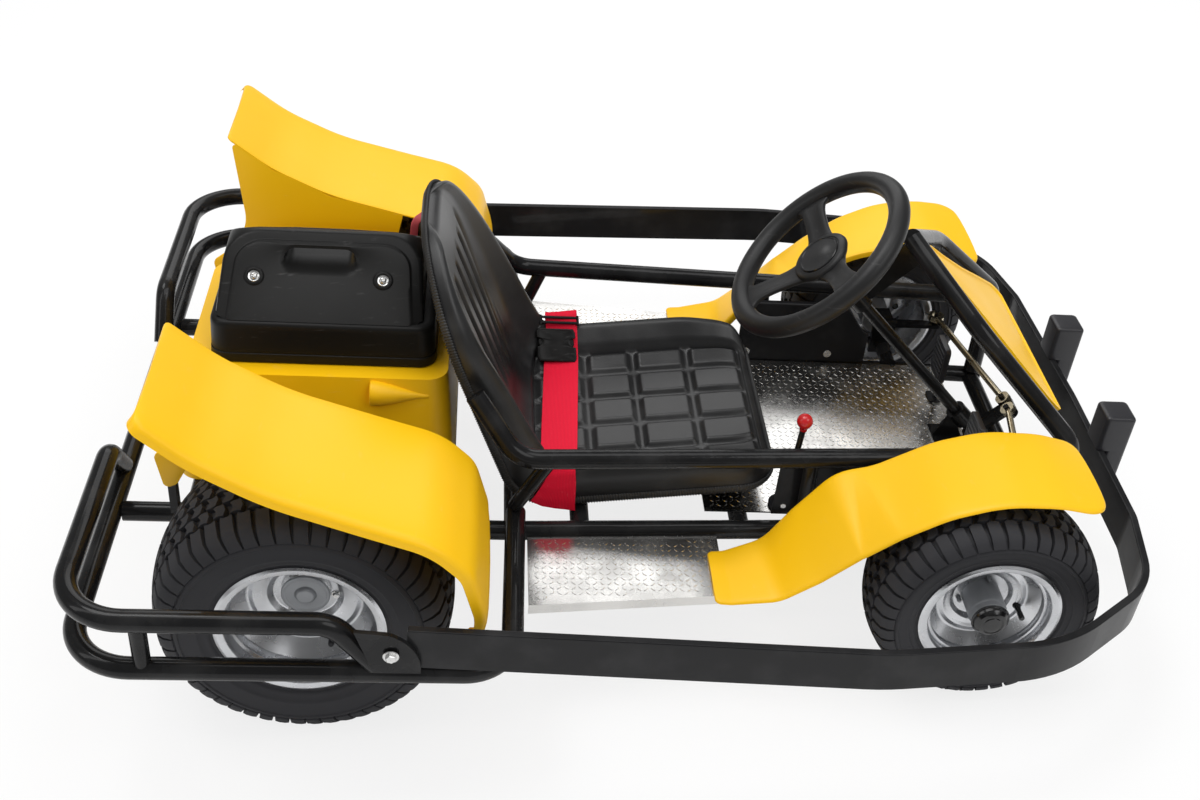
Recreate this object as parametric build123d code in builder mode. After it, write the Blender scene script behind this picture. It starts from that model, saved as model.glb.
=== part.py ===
from build123d import *
import os
from math import asin, atan2, cos, degrees, hypot, radians, sin, tan

# An electric racing kart on turf tyres, in millimetres. It is modelled level, in the chassis frame: +X to
# the front, +Y to the driver's left, +Z up, from the centre of the rear axle. The last section turns it
# nose-down by its rake and puts the origin on the floor, under the middle of its outline.

# Stance
WHEELBASE = 1056
FRONT_AXLE_RISE = 36
RUNNING_FIT = 0.05
SEAT_GAP = 0.3
SIDES = {"left": 1, "right": -1}

# Wheels: tyre radius, tyre width, middle of the tyre from the centreline, rim radius, rim width, the
# tread's edge in from the widest point and from the crown, and the dish as (out from its face, radius)
REAR_WHEEL = {"radius": 228, "width": 215, "middle": 401.5, "rim": 115, "rim_width": 190,
              "shoulder": (14, 18), "dish": ((0, 50), (9, 58), (13, 88), (38, 111))}
FRONT_WHEEL = {"radius": 183, "width": 148, "middle": 416, "rim": 98, "rim_width": 134,
               "shoulder": (11, 14), "dish": ((0, 44), (8, 50), (11, 72), (32, 94))}
RIM_STEEL = 3
RIM_FLANGE = 14
DISC_T = 4
TYRE_GRIP = 0.2

# Nose-down angle at which both wheels stand on the floor
RAKE = degrees(
    atan2(FRONT_AXLE_RISE, WHEELBASE)
    + asin((REAR_WHEEL["radius"] - FRONT_WHEEL["radius"]) / hypot(WHEELBASE, FRONT_AXLE_RISE))
)

# Rear axle
AXLE_R = 15
HUB_DISC_R = 37
HUB_DISC_T = 8
REAR_DISC_INSET = 87
BEARING_Y = 236
BEARING_R = 34
BEARING_T = 18
BRAKE_DISC_R = 90
BRAKE_DISC_T = 5
BRAKE_DISC_Y = -120

# Front knuckles and steering gear
KINGPIN_Y = 326
KINGPIN_R = 8
BARREL_R = 14
BARREL_H = 60
LUG_T = 8
STUB_R = 10
FRONT_DISC_INSET = 58
FRONT_HUB_R = 30
FRONT_HUB_OUT = 55
CAP_R = 29
CAP_T = 17
CAP_DOME = 9
STEER_ARM = 110
STEER_ARM_T = 8
STEER_ARM_W = 18
STUD_R = 4
STUD_H = 28
ROD_R = 6
ROD_EYE_R = 13
ROD_EYE_T = 10
ROD_EYE_LIFT = 10
OUTER_EYE_BORE = 9
OUTER_EYE_R = 16
PITMAN_ARM = 75
PITMAN_PIN_R = 5
PITMAN_SPREAD = 16
PITMAN_T = 8

# Steering wheel and column, whose shaft leaves the wheel forwards and down
WHEEL_HUB = (WHEELBASE - 247, 394)
COLUMN_FALL = 45.5
COLUMN_LENGTH = 505
COLUMN_R = 11
GRIP_RING_R = 160
GRIP_R = 14
SPOKES = (90, 210, 330)
SPOKE_W = 42
SPOKE_T = 9
WHEEL_HUB_R = 52
WHEEL_HUB_T = 30
COLLAR_R = 18
COLLAR_L = 34
UPPER_COLLAR_AT = 120
LOWER_COLLAR_AT = COLUMN_LENGTH - 50

# Frame tubes
TUBE_R = 16
CROSS_R = 15.8
RAIL_REAR_Y = 262
RAIL_FRONT_Y = 226
RAIL_FRONT_X = WHEELBASE + 184
FRONT_CROSS_X = WHEELBASE + 166
HUMP_RISE = 62
HUMP_X = (-150, -90, 90, 170)
RAIL_BENDS = (60, 60, 60, 60, 200)
YOKE_IN = 12
YOKE_W = 44
YOKE_RISE = 18
STUB_RISE = 24
BODY_CROSS_X = (-190, 205)
GUARD_LUG = (12, 20, 100)
GUARD_LUG_AT = (-216, 273.8)
CROSS_X = (320, 430, 700, WHEELBASE - 156)
UPPER_RAIL_Z = 171
UPPER_RAIL_REAR_Y = 287
UPPER_RAIL_FRONT_Y = 244
HOOP_APEX = (WHEELBASE - 94, 430)
HOOP_SHOULDER = (WHEELBASE + 4, 150, 345)
HOOP_FOOT_X = WHEELBASE + 170
HOOP_FOOT_Y = 236
HOOP_FOOT_Z = 190
HOOP_TOE_Y = 218
POST_R = 12
POSTS = ((372, 320, 262, 54.5), (WHEELBASE - 264, WHEELBASE - 256, 248, 17.5))
WEB_PLATE_T = 6

# Rear bumper: two tubes, one above the other
BUMPER_X = -318
BUMPER_Y = 598
BUMPER_TOP_Z = 122
BUMPER_LOW_Z = 28
BUMPER_R = 16.5
BUMPER_BEND = 95
OUTRIGGER_BEND = 70
HOOP_FRONT_X = (60, 120)
HOOP_INNER_Y = 236
OUTRIGGER_RISE = 33.1
TIE_X = -205
TIE_R = 12.5
BUMPER_PLATE_Y = 615
BUMPER_PLATE_T = 7
BUMPER_PLATE = ((92, 126), (140, 121), (174, 92), (184, 46), (118, 46))
OUTRIGGER_X = 322

# Side band
BAND_Z = 50
BAND_H = 72
BAND_T = 12
BAND_ROUTE = (
    (165, 610),
    (WHEELBASE - 206, 643),
    (WHEELBASE + 64, 617),
    (WHEELBASE + 238, 487),
    (WHEELBASE + 268, 330),
)
BAND_NOSE = (WHEELBASE + 275, 0)
BAND_BENDS = (400, 260, 150, 90, 600)
BUFFER = (52, 54, 150)
BUFFER_REAR = WHEELBASE + 258
BUFFER_Y = 135
BUFFER_Z = 41

# Plates
PLATE_T = 3
FRONT_TAIL_X = WHEELBASE - FRONT_WHEEL["radius"] - 237
STEP_X = (342, FRONT_TAIL_X + 21)
STEP_OUTER_Y = (435, 405)
STEP_TOP_Z = 1
STEP_SKIRT = 18
FLOOR_X = (640, WHEELBASE + 94)
FLOOR_W = 222
FLOOR_TOP_Z = TUBE_R + SEAT_GAP + PLATE_T

# Seat
SEAT_ROUTE = ((752, 92), (338, 40), (179, 455))
SEAT_BEND = 62
SEAT_SECTION = ((200, -24), (220, -22), (219, 18), (213, 44), (201, 52), (156, 9), (130, 0))
SEAT_W = 220
SEAT_TOP_BEND = 190
SEAT_FADE = ((-350, 54), (2, 10), (2, 90), (-350, 90))
SEAT_FRONT_BEND = 60
SEAT_FOOT = (24, 36)
SEAT_FOOT_Y = 150

# Lap belt, lying across the seat
WEB_W = 50
WEB_T = 3
WEB_GAP = 1
BELT_X = 412
BUCKLE = (46, 52, 13)

# Battery case on the rear body
BODY_FOOT = (-226, 220, 200)
BODY_TOP = (-206, 206, 168)
BODY_Z = (40.5, 232)
BODY_WALL = 5
BODY_CORNER = 34
CASE_CORNER = 30
CASE_X = (-172, 187)
CASE_W = 276
TRAY_H = 74
LID_FOOT = (-140, 166, 116)
LID_TOP = (-118, 142, 20)
LID_H = 92
HANDLE_SLOT = (106, 26)
HANDLE_DROP = 28
STRAP_R = 4
STRAP_ROUTE = ((176, 62, 307.5), (180, 62, 345), (180, 108, 345), (176, 108, 307.5))

# Mudguards, as side outlines: the rear ones by (x, z), the front ones by (angle, clearance) round the tyre
# ahead of a tail that lies on the step plate
GUARD_T = 4
REAR_GUARD = ((-192, 410), (-120, 352), (-20, 300), (110, 262), (204, 236), (254, 188), (278, 104), (268, 44))
REAR_GUARD_BENDS = (300, 400, 500, 150, 60, 80)
REAR_GUARD_X = (-192, 262)
REAR_GUARD_IN_Y = (286, 314)
REAR_GUARD_OUT_Y = (531, 576)
REAR_WALL = (
    (-190, 402),
    (-171, 244),
    (-190, 195),
    (-237, 160),
    (-224, 95),
    (-206, 108),
    (-168, 184),
    (-90, 232),
    (0, 248),
    (100, 236),
)
FRONT_TAIL_L = 26
FRONT_GUARD_IN = (
    (180.7, 151),
    (168.5, 117.1),
    (150, 89.4),
    (139.9, 47),
    (113.7, 31),
    (91.6, 33.1),
    (68.2, 43.2),
    (51.7, 59.1),
)
FRONT_GUARD_OUT = (
    (182.9, 138.4),
    (174, 84.5),
    (158.3, 44.1),
    (139.1, 23.3),
    (118.2, 20.1),
    (95.7, 30),
    (74.9, 42.8),
    (56.6, 67.4),
)
FRONT_GUARD_BENDS = (20, 60, 60, 70, 120, 200, 200, 200)
FRONT_GUARD_X = (WHEELBASE - 406, WHEELBASE + 144)
FRONT_GUARD_IN_Y = (302, 270)
FRONT_GUARD_OUT_Y = (430, 476)

# Nose panel
PANEL_T = 5
PANEL_TOP = (WHEELBASE - 70, 414)
PANEL_FOOT = (WHEELBASE + 160, 214)
PANEL_OUTLINE = ((0, 190), (0.55, 76), (1, 10))

# Pedals and lever
PEDAL_Y = (118, -118)
PEDAL_X = WHEELBASE + 62
PEDAL_H = 126
PEDAL_PAD = (8, 64, 74)
LEVER_FOOT = (WHEELBASE - 280, -204, 21)
KNOB_AT = (WHEELBASE - 280, -232, 206)
KNOB_R = 13
LEVER_R = 5

# Drive unit on the rear axle
GEARBOX_Y = (30, 82)
GEARBOX_R = 50
AXLE_CLEARANCE = 5
MOTOR_Y = (30, 176)
MOTOR_R = 56
MOTOR_X = 118


def offset_points(points, distance):
    """Points of an open polyline moved to its left by a distance, with mitred corners."""
    moved = []
    for i, (x, y) in enumerate(points):
        before = points[max(i - 1, 0)]
        after = points[min(i + 1, len(points) - 1)]
        heading_in = atan2(y - before[1], x - before[0]) if i else None
        heading_out = atan2(after[1] - y, after[0] - x) if i < len(points) - 1 else heading_in
        heading_in = heading_out if heading_in is None else heading_in
        half_turn = (heading_out - heading_in) / 2
        across = heading_in + half_turn + radians(90)
        reach = distance / cos(half_turn)
        moved.append((x + reach * cos(across), y + reach * sin(across)))
    return moved


def corner_radii(points, radii, distance):
    """Radii of the moved polyline's corners, so that its bends stay concentric with the first ones."""
    moved = []
    for before, here, after, radius in zip(points, points[1:], points[2:], radii):
        turn = (here[0] - before[0]) * (after[1] - here[1]) - (here[1] - before[1]) * (after[0] - here[0])
        moved.append(radius - distance if turn > 0 else radius + distance)
    return moved


def strip_face(points, radii, thickness):
    """Face of a bent strip: one side follows the points, the other lies to their left."""
    with BuildLine() as outline:
        near = FilletPolyline(*points, radius=radii)
        far = FilletPolyline(*offset_points(points, thickness), radius=corner_radii(points, radii, thickness))
        Line(near @ 0, far @ 0)
        Line(near @ 1, far @ 1)
    make_face(outline.edges())


def bent_tube(points, radius, bends=None, mode=Mode.ADD):
    """Round tube along straight runs joined by tangent bends."""
    with BuildLine() as route:
        if len(points) == 2:
            Line(*points)
        else:
            FilletPolyline(*points, radius=bends)
    with BuildSketch(Plane(origin=route.line @ 0, z_dir=route.line % 0)) as section:
        Circle(radius)
    sweep(section.sketch, path=route.line, mode=mode)


def mirrored(points):
    """The same points on the other side of the centreline."""
    return [(x, -y, z) for x, y, z in points]


def rail_y(x):
    """Distance of the lower rail from the centreline at a station behind or ahead of the seat."""
    share = max(0, (x - CROSS_X[0]) / (RAIL_FRONT_X - CROSS_X[0]))
    return RAIL_REAR_Y + share * (RAIL_FRONT_Y - RAIL_REAR_Y)


def upper_rail_y(x):
    """Distance of the upper rail from the centreline."""
    share = (x - CROSS_X[0]) / (HOOP_FOOT_X - CROSS_X[0])
    return UPPER_RAIL_REAR_Y + share * (UPPER_RAIL_FRONT_Y - UPPER_RAIL_REAR_Y)


column_axis = Vector(-cos(radians(COLUMN_FALL)), 0, sin(radians(COLUMN_FALL)))
wheel_centre = Vector(WHEEL_HUB[0], 0, WHEEL_HUB[1])
pitman_reach = Vector(sin(radians(COLUMN_FALL)), 0, cos(radians(COLUMN_FALL)))
pitman_root = wheel_centre - column_axis * (COLUMN_LENGTH - PITMAN_T)
pitman_pin = pitman_root + pitman_reach * PITMAN_ARM
front_axle = Vector(WHEELBASE, 0, FRONT_AXLE_RISE)


def column_plane(along):
    """Plane square to the steering column, at a distance down it from the wheel's centre."""
    return Plane(origin=wheel_centre - column_axis * along, x_dir=(0, 1, 0), z_dir=column_axis)


def column_collar(along):
    """Plain bearing collar round the column, centred at a distance down it."""
    with BuildSketch(column_plane(along + COLLAR_L / 2)) as ring:
        Circle(COLLAR_R)
    extrude(ring.sketch, amount=COLLAR_L)
    with BuildSketch(column_plane(along + COLLAR_L)) as hole:
        Circle(COLUMN_R + RUNNING_FIT)
    extrude(hole.sketch, amount=2 * COLLAR_L, mode=Mode.SUBTRACT)


def leaning_plane(along, across):
    """Upright plane whose distance from the centreline changes between two stations along the kart."""
    lean = atan2(across[1] - across[0], along[1] - along[0])
    direction = Vector(cos(lean), sin(lean), 0)
    start = across[0] - along[0] * tan(lean)
    return Plane(origin=(0, start, 0), x_dir=direction, z_dir=direction.cross(Vector(0, 0, 1)))


def leaning_strip(points, radii, thickness, along, across):
    """Strip face drawn by (x, z) points in a leaning plane."""
    with BuildSketch(leaning_plane(along, across)) as strip:
        strip_face(points, radii, thickness)
    return strip.sketch


parts = {}


def keep(name, shape):
    """Put a finished piece on the list of those to place and write."""
    shape.label = name
    parts[name] = shape


def keep_pair(name, shape):
    """Keep a left-hand piece and its mirror image."""
    keep(f"{name}_left", shape)
    keep(f"{name}_right", mirror(shape, about=Plane.XZ))


# Lower frame: two rails that hump over the axle, cross tubes, kingpin yokes and bearing hangers
with BuildPart() as lower_frame:
    for hand in (1, -1):
        rail = [
            (BUMPER_X + BUMPER_R + SEAT_GAP, hand * RAIL_REAR_Y, STUB_RISE),
            (HUMP_X[0], hand * RAIL_REAR_Y, STUB_RISE),
            (HUMP_X[1], hand * RAIL_REAR_Y, HUMP_RISE),
            (HUMP_X[2], hand * RAIL_REAR_Y, HUMP_RISE),
            (HUMP_X[3], hand * RAIL_REAR_Y, 0),
            (CROSS_X[0], hand * RAIL_REAR_Y, 0),
            (RAIL_FRONT_X, hand * RAIL_FRONT_Y, 0),
        ]
        bent_tube(rail, TUBE_R, RAIL_BENDS)
    for x in (*CROSS_X, FRONT_CROSS_X):
        bent_tube([(x, -rail_y(x), 0), (x, rail_y(x), 0)], CROSS_R)
    for x in BODY_CROSS_X:
        bent_tube([(x, -RAIL_REAR_Y, STUB_RISE), (x, RAIL_REAR_Y, STUB_RISE)], CROSS_R)
    for hand in (1, -1):
        yoke_y = KINGPIN_Y - BARREL_R - YOKE_IN
        yoke_root = (WHEELBASE, hand * (rail_y(WHEELBASE) - TUBE_R / 2), YOKE_RISE)
        bent_tube([yoke_root, (WHEELBASE, hand * yoke_y, YOKE_RISE)], TUBE_R - 2)
        with Locations((WHEELBASE, hand * yoke_y, FRONT_AXLE_RISE)):
            Box(YOKE_W, LUG_T, BARREL_H + 2 * LUG_T + 1)
        lug_mid = hand * (yoke_y + KINGPIN_Y + BARREL_R) / 2
        for rise in (1, -1):
            with Locations((WHEELBASE, lug_mid, FRONT_AXLE_RISE + rise * (BARREL_H + LUG_T + 1) / 2)):
                Box(2 * BARREL_R + 4, KINGPIN_Y + BARREL_R - yoke_y, LUG_T)
        with Locations((WHEELBASE, hand * KINGPIN_Y, FRONT_AXLE_RISE)):
            Cylinder(KINGPIN_R, BARREL_H + 2 * LUG_T)
        with BuildSketch(Plane.XZ.offset(-hand * BEARING_Y - BEARING_T / 2)):
            with BuildLine():
                Polyline((-BEARING_R, 0), (-BEARING_R, HUMP_RISE), (BEARING_R, HUMP_RISE), (BEARING_R, 0), close=True)
            make_face()
            Circle(BEARING_R)
            Circle(AXLE_R + RUNNING_FIT, mode=Mode.SUBTRACT)
        extrude(amount=BEARING_T)
        with Locations((0, hand * (BEARING_Y + RAIL_REAR_Y) / 2, HUMP_RISE)):
            Box(60, RAIL_REAR_Y - BEARING_Y + 4, 12)
keep("lower_frame", lower_frame.part)

# Lugs that carry the rear mudguards, each standing on its rail
lug_z = STUB_RISE + TUBE_R + SEAT_GAP + GUARD_LUG[2] / 2
with BuildPart() as guard_lugs:
    with Locations(*[(GUARD_LUG_AT[0], hand * GUARD_LUG_AT[1], lug_z) for hand in (1, -1)]):
        Box(*GUARD_LUG)
keep("guard_lugs", guard_lugs.part)

# Upper frame: side rails, posts and the nose hoop with the column's upper collar
with BuildPart() as upper_frame:
    for hand in (1, -1):
        leg = [
            (FRONT_CROSS_X, hand * HOOP_TOE_Y, TUBE_R + 2.5),
            (HOOP_FOOT_X, hand * HOOP_FOOT_Y, HOOP_FOOT_Z),
            (HOOP_SHOULDER[0], hand * HOOP_SHOULDER[1], HOOP_SHOULDER[2]),
            (HOOP_APEX[0], 0, HOOP_APEX[1]),
        ]
        bent_tube(leg, TUBE_R, (40, 120))
        rail = [
            (250, hand * 246, 262),
            (CROSS_X[0], hand * UPPER_RAIL_REAR_Y, UPPER_RAIL_Z),
            (HOOP_FOOT_X, hand * UPPER_RAIL_FRONT_Y, UPPER_RAIL_Z),
        ]
        bent_tube(rail, TUBE_R, 60)
        for top_x, foot_x, foot_y, foot_z in POSTS:
            top = (top_x, hand * upper_rail_y(top_x), UPPER_RAIL_Z)
            bent_tube([(foot_x, hand * foot_y, foot_z), top], POST_R)
    with BuildSketch(Plane.XZ.offset(-WEB_PLATE_T / 2)):
        with BuildLine():
            collar_at = wheel_centre - column_axis * UPPER_COLLAR_AT
            corners = [collar_at + pitman_reach * 14 + column_axis * step for step in (14, -14)]
            Polyline(
                (HOOP_APEX[0] - 6, HOOP_APEX[1] - 4),
                (HOOP_APEX[0] + 34, HOOP_APEX[1] - 34),
                (corners[1].X, corners[1].Z),
                (corners[0].X, corners[0].Z),
                close=True,
            )
        make_face()
    extrude(amount=WEB_PLATE_T)
    column_collar(UPPER_COLLAR_AT)
keep("upper_frame", upper_frame.part)

# Lower bearing of the column, on a foot that stands on the floor plate
with BuildPart() as column_bearing:
    collar_at = wheel_centre - column_axis * LOWER_COLLAR_AT
    with BuildSketch(Plane.XZ.offset(-WEB_PLATE_T / 2)):
        with BuildLine():
            corners = [collar_at - pitman_reach * 14 + column_axis * step for step in (14, -14)]
            Polyline(
                (corners[0].X, corners[0].Z),
                (corners[1].X, corners[1].Z),
                (collar_at.X + 12, FLOOR_TOP_Z + SEAT_GAP),
                (collar_at.X - 44, FLOOR_TOP_Z + SEAT_GAP),
                close=True,
            )
        make_face()
    extrude(amount=WEB_PLATE_T)
    with Locations((collar_at.X - 16, 0, FLOOR_TOP_Z + SEAT_GAP + 2)):
        Box(56, 60, 4)
    column_collar(LOWER_COLLAR_AT)
keep("column_bearing", column_bearing.part)

# Rear bumper: a lower tube that runs round the back from outrigger to outrigger
half = [
    (OUTRIGGER_X, rail_y(OUTRIGGER_X) - TUBE_R / 2, OUTRIGGER_RISE),
    (OUTRIGGER_X - 8, BUMPER_Y, BUMPER_LOW_Z),
    (BUMPER_X, BUMPER_Y, BUMPER_LOW_Z),
]
bumper_route = [*half, *mirrored(half)[::-1]]
bumper_bends = (OUTRIGGER_BEND, BUMPER_BEND, BUMPER_BEND, OUTRIGGER_BEND)
with BuildPart() as rear_bumper:
    bent_tube(bumper_route, BUMPER_R, bumper_bends)
keep("rear_bumper", rear_bumper.part)

# Upper hoops of the bumper, each with its tie tube and the bracket plate for the side band
with BuildPart() as bumper_hoops:
    for hand in (1, -1):
        upper = [
            (BUMPER_X, hand * (HOOP_INNER_Y - 60), BUMPER_LOW_Z + 20),
            (BUMPER_X, hand * HOOP_INNER_Y, BUMPER_TOP_Z),
            (BUMPER_X, hand * BUMPER_Y, BUMPER_TOP_Z),
            (HOOP_FRONT_X[0], hand * BUMPER_Y, BUMPER_TOP_Z),
            (HOOP_FRONT_X[1], hand * BUMPER_Y, BUMPER_LOW_Z + BUMPER_R),
        ]
        bent_tube(upper, BUMPER_R, (40, BUMPER_BEND, 50))
        tie = [(TIE_X, hand * BUMPER_Y, BUMPER_LOW_Z), (TIE_X, hand * BUMPER_Y, BUMPER_TOP_Z)]
        bent_tube(tie, TIE_R)
        with BuildSketch(Plane.XZ.offset(-hand * BUMPER_PLATE_Y - BUMPER_PLATE_T / 2)):
            with BuildLine():
                Polyline(BUMPER_PLATE[3], BUMPER_PLATE[4], BUMPER_PLATE[0], BUMPER_PLATE[1])
                ThreePointArc(*BUMPER_PLATE[1:4])
            make_face()
        extrude(amount=BUMPER_PLATE_T)
    bent_tube(bumper_route, BUMPER_R + SEAT_GAP, bumper_bends, Mode.SUBTRACT)
keep("bumper_hoops", bumper_hoops.part)

# Side band: one flat strip from bracket to bracket, round the nose
with BuildPart() as bumper_band:
    half = [*BAND_ROUTE, BAND_NOSE]
    route = [*half, *[(x, -y) for x, y in half[-2::-1]]]
    with BuildSketch(Plane.XY.offset(BAND_Z)):
        bends = [*BAND_BENDS[:4], *BAND_BENDS[4:], *BAND_BENDS[3::-1]]
        strip_face([(x, -y) for x, y in route], bends, BAND_T)
    extrude(amount=BAND_H)
    fillet(bumper_band.edges().group_by(Axis.Z)[-1], 2)
keep("bumper_band", bumper_band.part)

# Front buffers
with BuildPart() as buffers:
    front = BUFFER_REAR + BUFFER[0]
    band_front = BAND_NOSE[0] + SEAT_GAP
    band_top = BAND_Z + BAND_H + SEAT_GAP
    for back, low in ((band_front, BUFFER_Z), (BUFFER_REAR, band_top)):
        middle = ((back + front) / 2, 0, (low + BUFFER_Z + BUFFER[2]) / 2)
        with Locations(*[(middle[0], hand * BUFFER_Y, middle[2]) for hand in (1, -1)]):
            Box(front - back, BUFFER[1], BUFFER_Z + BUFFER[2] - low)
    chamfer(buffers.edges().filter_by(Axis.Y).group_by(Axis.Z)[-1], 5)
keep("front_buffers", buffers.part)

# Step plates outside the rails, each with a turned-down skirt
for side, hand in SIDES.items():
    inner = [rail_y(x) + TUBE_R + SEAT_GAP for x in STEP_X]
    with BuildPart() as step:
        with BuildSketch(Plane.XY.offset(STEP_TOP_Z - PLATE_T)):
            with BuildLine():
                Polyline(
                    (STEP_X[0], hand * inner[0]),
                    (STEP_X[1], hand * inner[1]),
                    (STEP_X[1], hand * STEP_OUTER_Y[1]),
                    (STEP_X[0], hand * STEP_OUTER_Y[0]),
                    close=True,
                )
            make_face()
        extrude(amount=PLATE_T)
        with BuildSketch(Plane.XY.offset(STEP_TOP_Z - STEP_SKIRT)):
            with BuildLine():
                Polyline(
                    (STEP_X[0], hand * STEP_OUTER_Y[0]),
                    (STEP_X[1], hand * STEP_OUTER_Y[1]),
                    (STEP_X[1], hand * (STEP_OUTER_Y[1] - PLATE_T)),
                    (STEP_X[0], hand * (STEP_OUTER_Y[0] - PLATE_T)),
                    close=True,
                )
            make_face()
        extrude(amount=STEP_SKIRT)
    keep(f"step_plate_{side}", step.part)

# Floor plate on the cross tubes
with BuildPart() as floor_plate:
    with Locations(((FLOOR_X[0] + FLOOR_X[1]) / 2, 0, FLOOR_TOP_Z - PLATE_T / 2)):
        Box(FLOOR_X[1] - FLOOR_X[0], 2 * FLOOR_W, PLATE_T)
keep("floor_plate", floor_plate.part)

# Seat: one bucket section swept from the front of the pan to the top of the back, its corners rounded and
# its bolsters fading towards the top
with BuildPart() as seat:
    with BuildLine() as seat_path:
        FilletPolyline(*[(x, 0, z) for x, z in SEAT_ROUTE], radius=SEAT_BEND)
    front_way = seat_path.line % 0
    top_way = seat_path.line % 1
    with BuildSketch(Plane(origin=seat_path.line @ 0, x_dir=(0, 1, 0), z_dir=front_way)) as section:
        with BuildLine():
            half = [(y, -n) for y, n in SEAT_SECTION]
            Polyline(*half, *[(-y, n) for y, n in half[::-1]], close=True)
        make_face()
    sweep(section.sketch, path=seat_path.line)
    for place, outward, bend in ((0, -front_way, SEAT_FRONT_BEND), (1, top_way, SEAT_TOP_BEND)):
        over = Plane(origin=seat_path.line @ place, x_dir=(0, 1, 0), z_dir=Vector(0, 1, 0).cross(outward))
        size = bend + 2
        for hand in (1, -1):
            with BuildSketch(over):
                with Locations((hand * (SEAT_W - bend + size / 2), -bend + size / 2)):
                    Rectangle(size, size)
                with Locations((hand * (SEAT_W - bend), -bend)):
                    Circle(bend, mode=Mode.SUBTRACT)
            extrude(amount=120, both=True, mode=Mode.SUBTRACT)
    with BuildSketch(Plane(origin=seat_path.line @ 1, x_dir=top_way, z_dir=(0, 1, 0))):
        with BuildLine():
            Polyline(*SEAT_FADE, close=True)
        make_face()
    extrude(amount=SEAT_W + 5, both=True, mode=Mode.SUBTRACT)
keep("seat", seat.part)

# Seat feet between the pan and the cross tubes or the floor plate
with BuildPart() as seat_feet:
    slope = (SEAT_ROUTE[0][1] - SEAT_ROUTE[1][1]) / (SEAT_ROUTE[0][0] - SEAT_ROUTE[1][0])
    for x, rest in ((CROSS_X[1], TUBE_R + SEAT_GAP), (CROSS_X[2], FLOOR_TOP_Z + SEAT_GAP)):
        under = SEAT_ROUTE[1][1] + (x - SEAT_FOOT[0] / 2 - SEAT_ROUTE[1][0]) * slope + SEAT_SECTION[0][1]
        height = under - rest - 2 * SEAT_GAP
        with Locations(*[(x, hand * SEAT_FOOT_Y, rest + height / 2) for hand in (1, -1)]):
            Box(SEAT_FOOT[0], SEAT_FOOT[1], height)
keep("seat_feet", seat_feet.part)

# Lap belt: webbing that lies over both bolsters and hangs at their outer sides, with its buckle
belt_at = Plane(
    origin=(BELT_X, 0, SEAT_ROUTE[1][1] + (BELT_X - SEAT_ROUTE[1][0]) * slope),
    x_dir=(0, 1, 0),
    z_dir=front_way,
)
with BuildPart() as lap_belt:
    with BuildSketch(belt_at):
        over = [(y, -n) for y, n in SEAT_SECTION[1:]]
        under = offset_points([*over, *[(-y, n) for y, n in over[::-1]]], WEB_GAP)
        top = offset_points(under, WEB_T)
        with BuildLine() as web_outline:
            Polyline(*under, *top[::-1], close=True)
        make_face(web_outline.edges())
    extrude(amount=WEB_W / 2, both=True)
keep("lap_belt", lap_belt.part)
with BuildPart() as buckle:
    ridge, foot = SEAT_SECTION[4:6]
    bank = atan2(ridge[1] - foot[1], ridge[0] - foot[0])
    lift = WEB_GAP + WEB_T + SEAT_GAP + BUCKLE[2] / 2
    with BuildSketch(belt_at):
        middle_y = (ridge[0] + foot[0]) / 2 - lift * sin(bank)
        middle_n = (ridge[1] + foot[1]) / 2 + lift * cos(bank)
        with Locations(Location((middle_y, -middle_n, 0), (0, 0, -degrees(bank)))):
            Rectangle(BUCKLE[1], BUCKLE[2])
    extrude(amount=BUCKLE[0] / 2, both=True)
keep("belt_buckle", buckle.part)

# Rear body: a drawn shell, open below, over the drive unit
with BuildPart() as rear_body:
    for inset, mode in ((0, Mode.ADD), (BODY_WALL, Mode.SUBTRACT)):
        levels = (BODY_Z[0] - inset, BODY_Z[1] - inset)
        for (back, ahead, half_width), height in zip((BODY_FOOT, BODY_TOP), levels):
            with BuildSketch(Plane.XY.offset(height)):
                with Locations(((back + ahead) / 2, 0)):
                    RectangleRounded(ahead - back - 2 * inset, 2 * half_width - 2 * inset, BODY_CORNER - inset)
        loft(mode=mode)
keep("rear_body", rear_body.part)

# Battery case: tray and clamshell lid with a carrying slot through its ridge
tray_z = BODY_Z[1] + SEAT_GAP
with BuildPart() as case_tray:
    with BuildSketch(Plane.XY.offset(tray_z)):
        with Locations((sum(CASE_X) / 2, 0)):
            RectangleRounded(CASE_X[1] - CASE_X[0], CASE_W, CASE_CORNER)
    extrude(amount=TRAY_H, taper=3)
    fillet(case_tray.edges().group_by(Axis.Z)[-1], 5)
keep("case_tray", case_tray.part)
lid_z = tray_z + TRAY_H + SEAT_GAP
with BuildPart() as case_lid:
    for (back, ahead, half_width), height, corner in ((LID_FOOT, lid_z, 30), (LID_TOP, lid_z + LID_H, 18)):
        with BuildSketch(Plane.XY.offset(height)):
            with Locations(((back + ahead) / 2, 0)):
                RectangleRounded(ahead - back, 2 * half_width, corner)
    loft()
    slot_at = ((LID_TOP[0] + LID_TOP[1]) / 2, lid_z + LID_H - HANDLE_DROP)
    with BuildSketch(Plane.XZ):
        with Locations(slot_at):
            SlotOverall(*HANDLE_SLOT)
    extrude(amount=LID_FOOT[2], both=True, mode=Mode.SUBTRACT)
keep("case_lid", case_lid.part)

# Strap loop at the front of the case
with BuildPart() as case_strap:
    bent_tube(STRAP_ROUTE, STRAP_R, 14)
keep("case_strap", case_strap.part)

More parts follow.
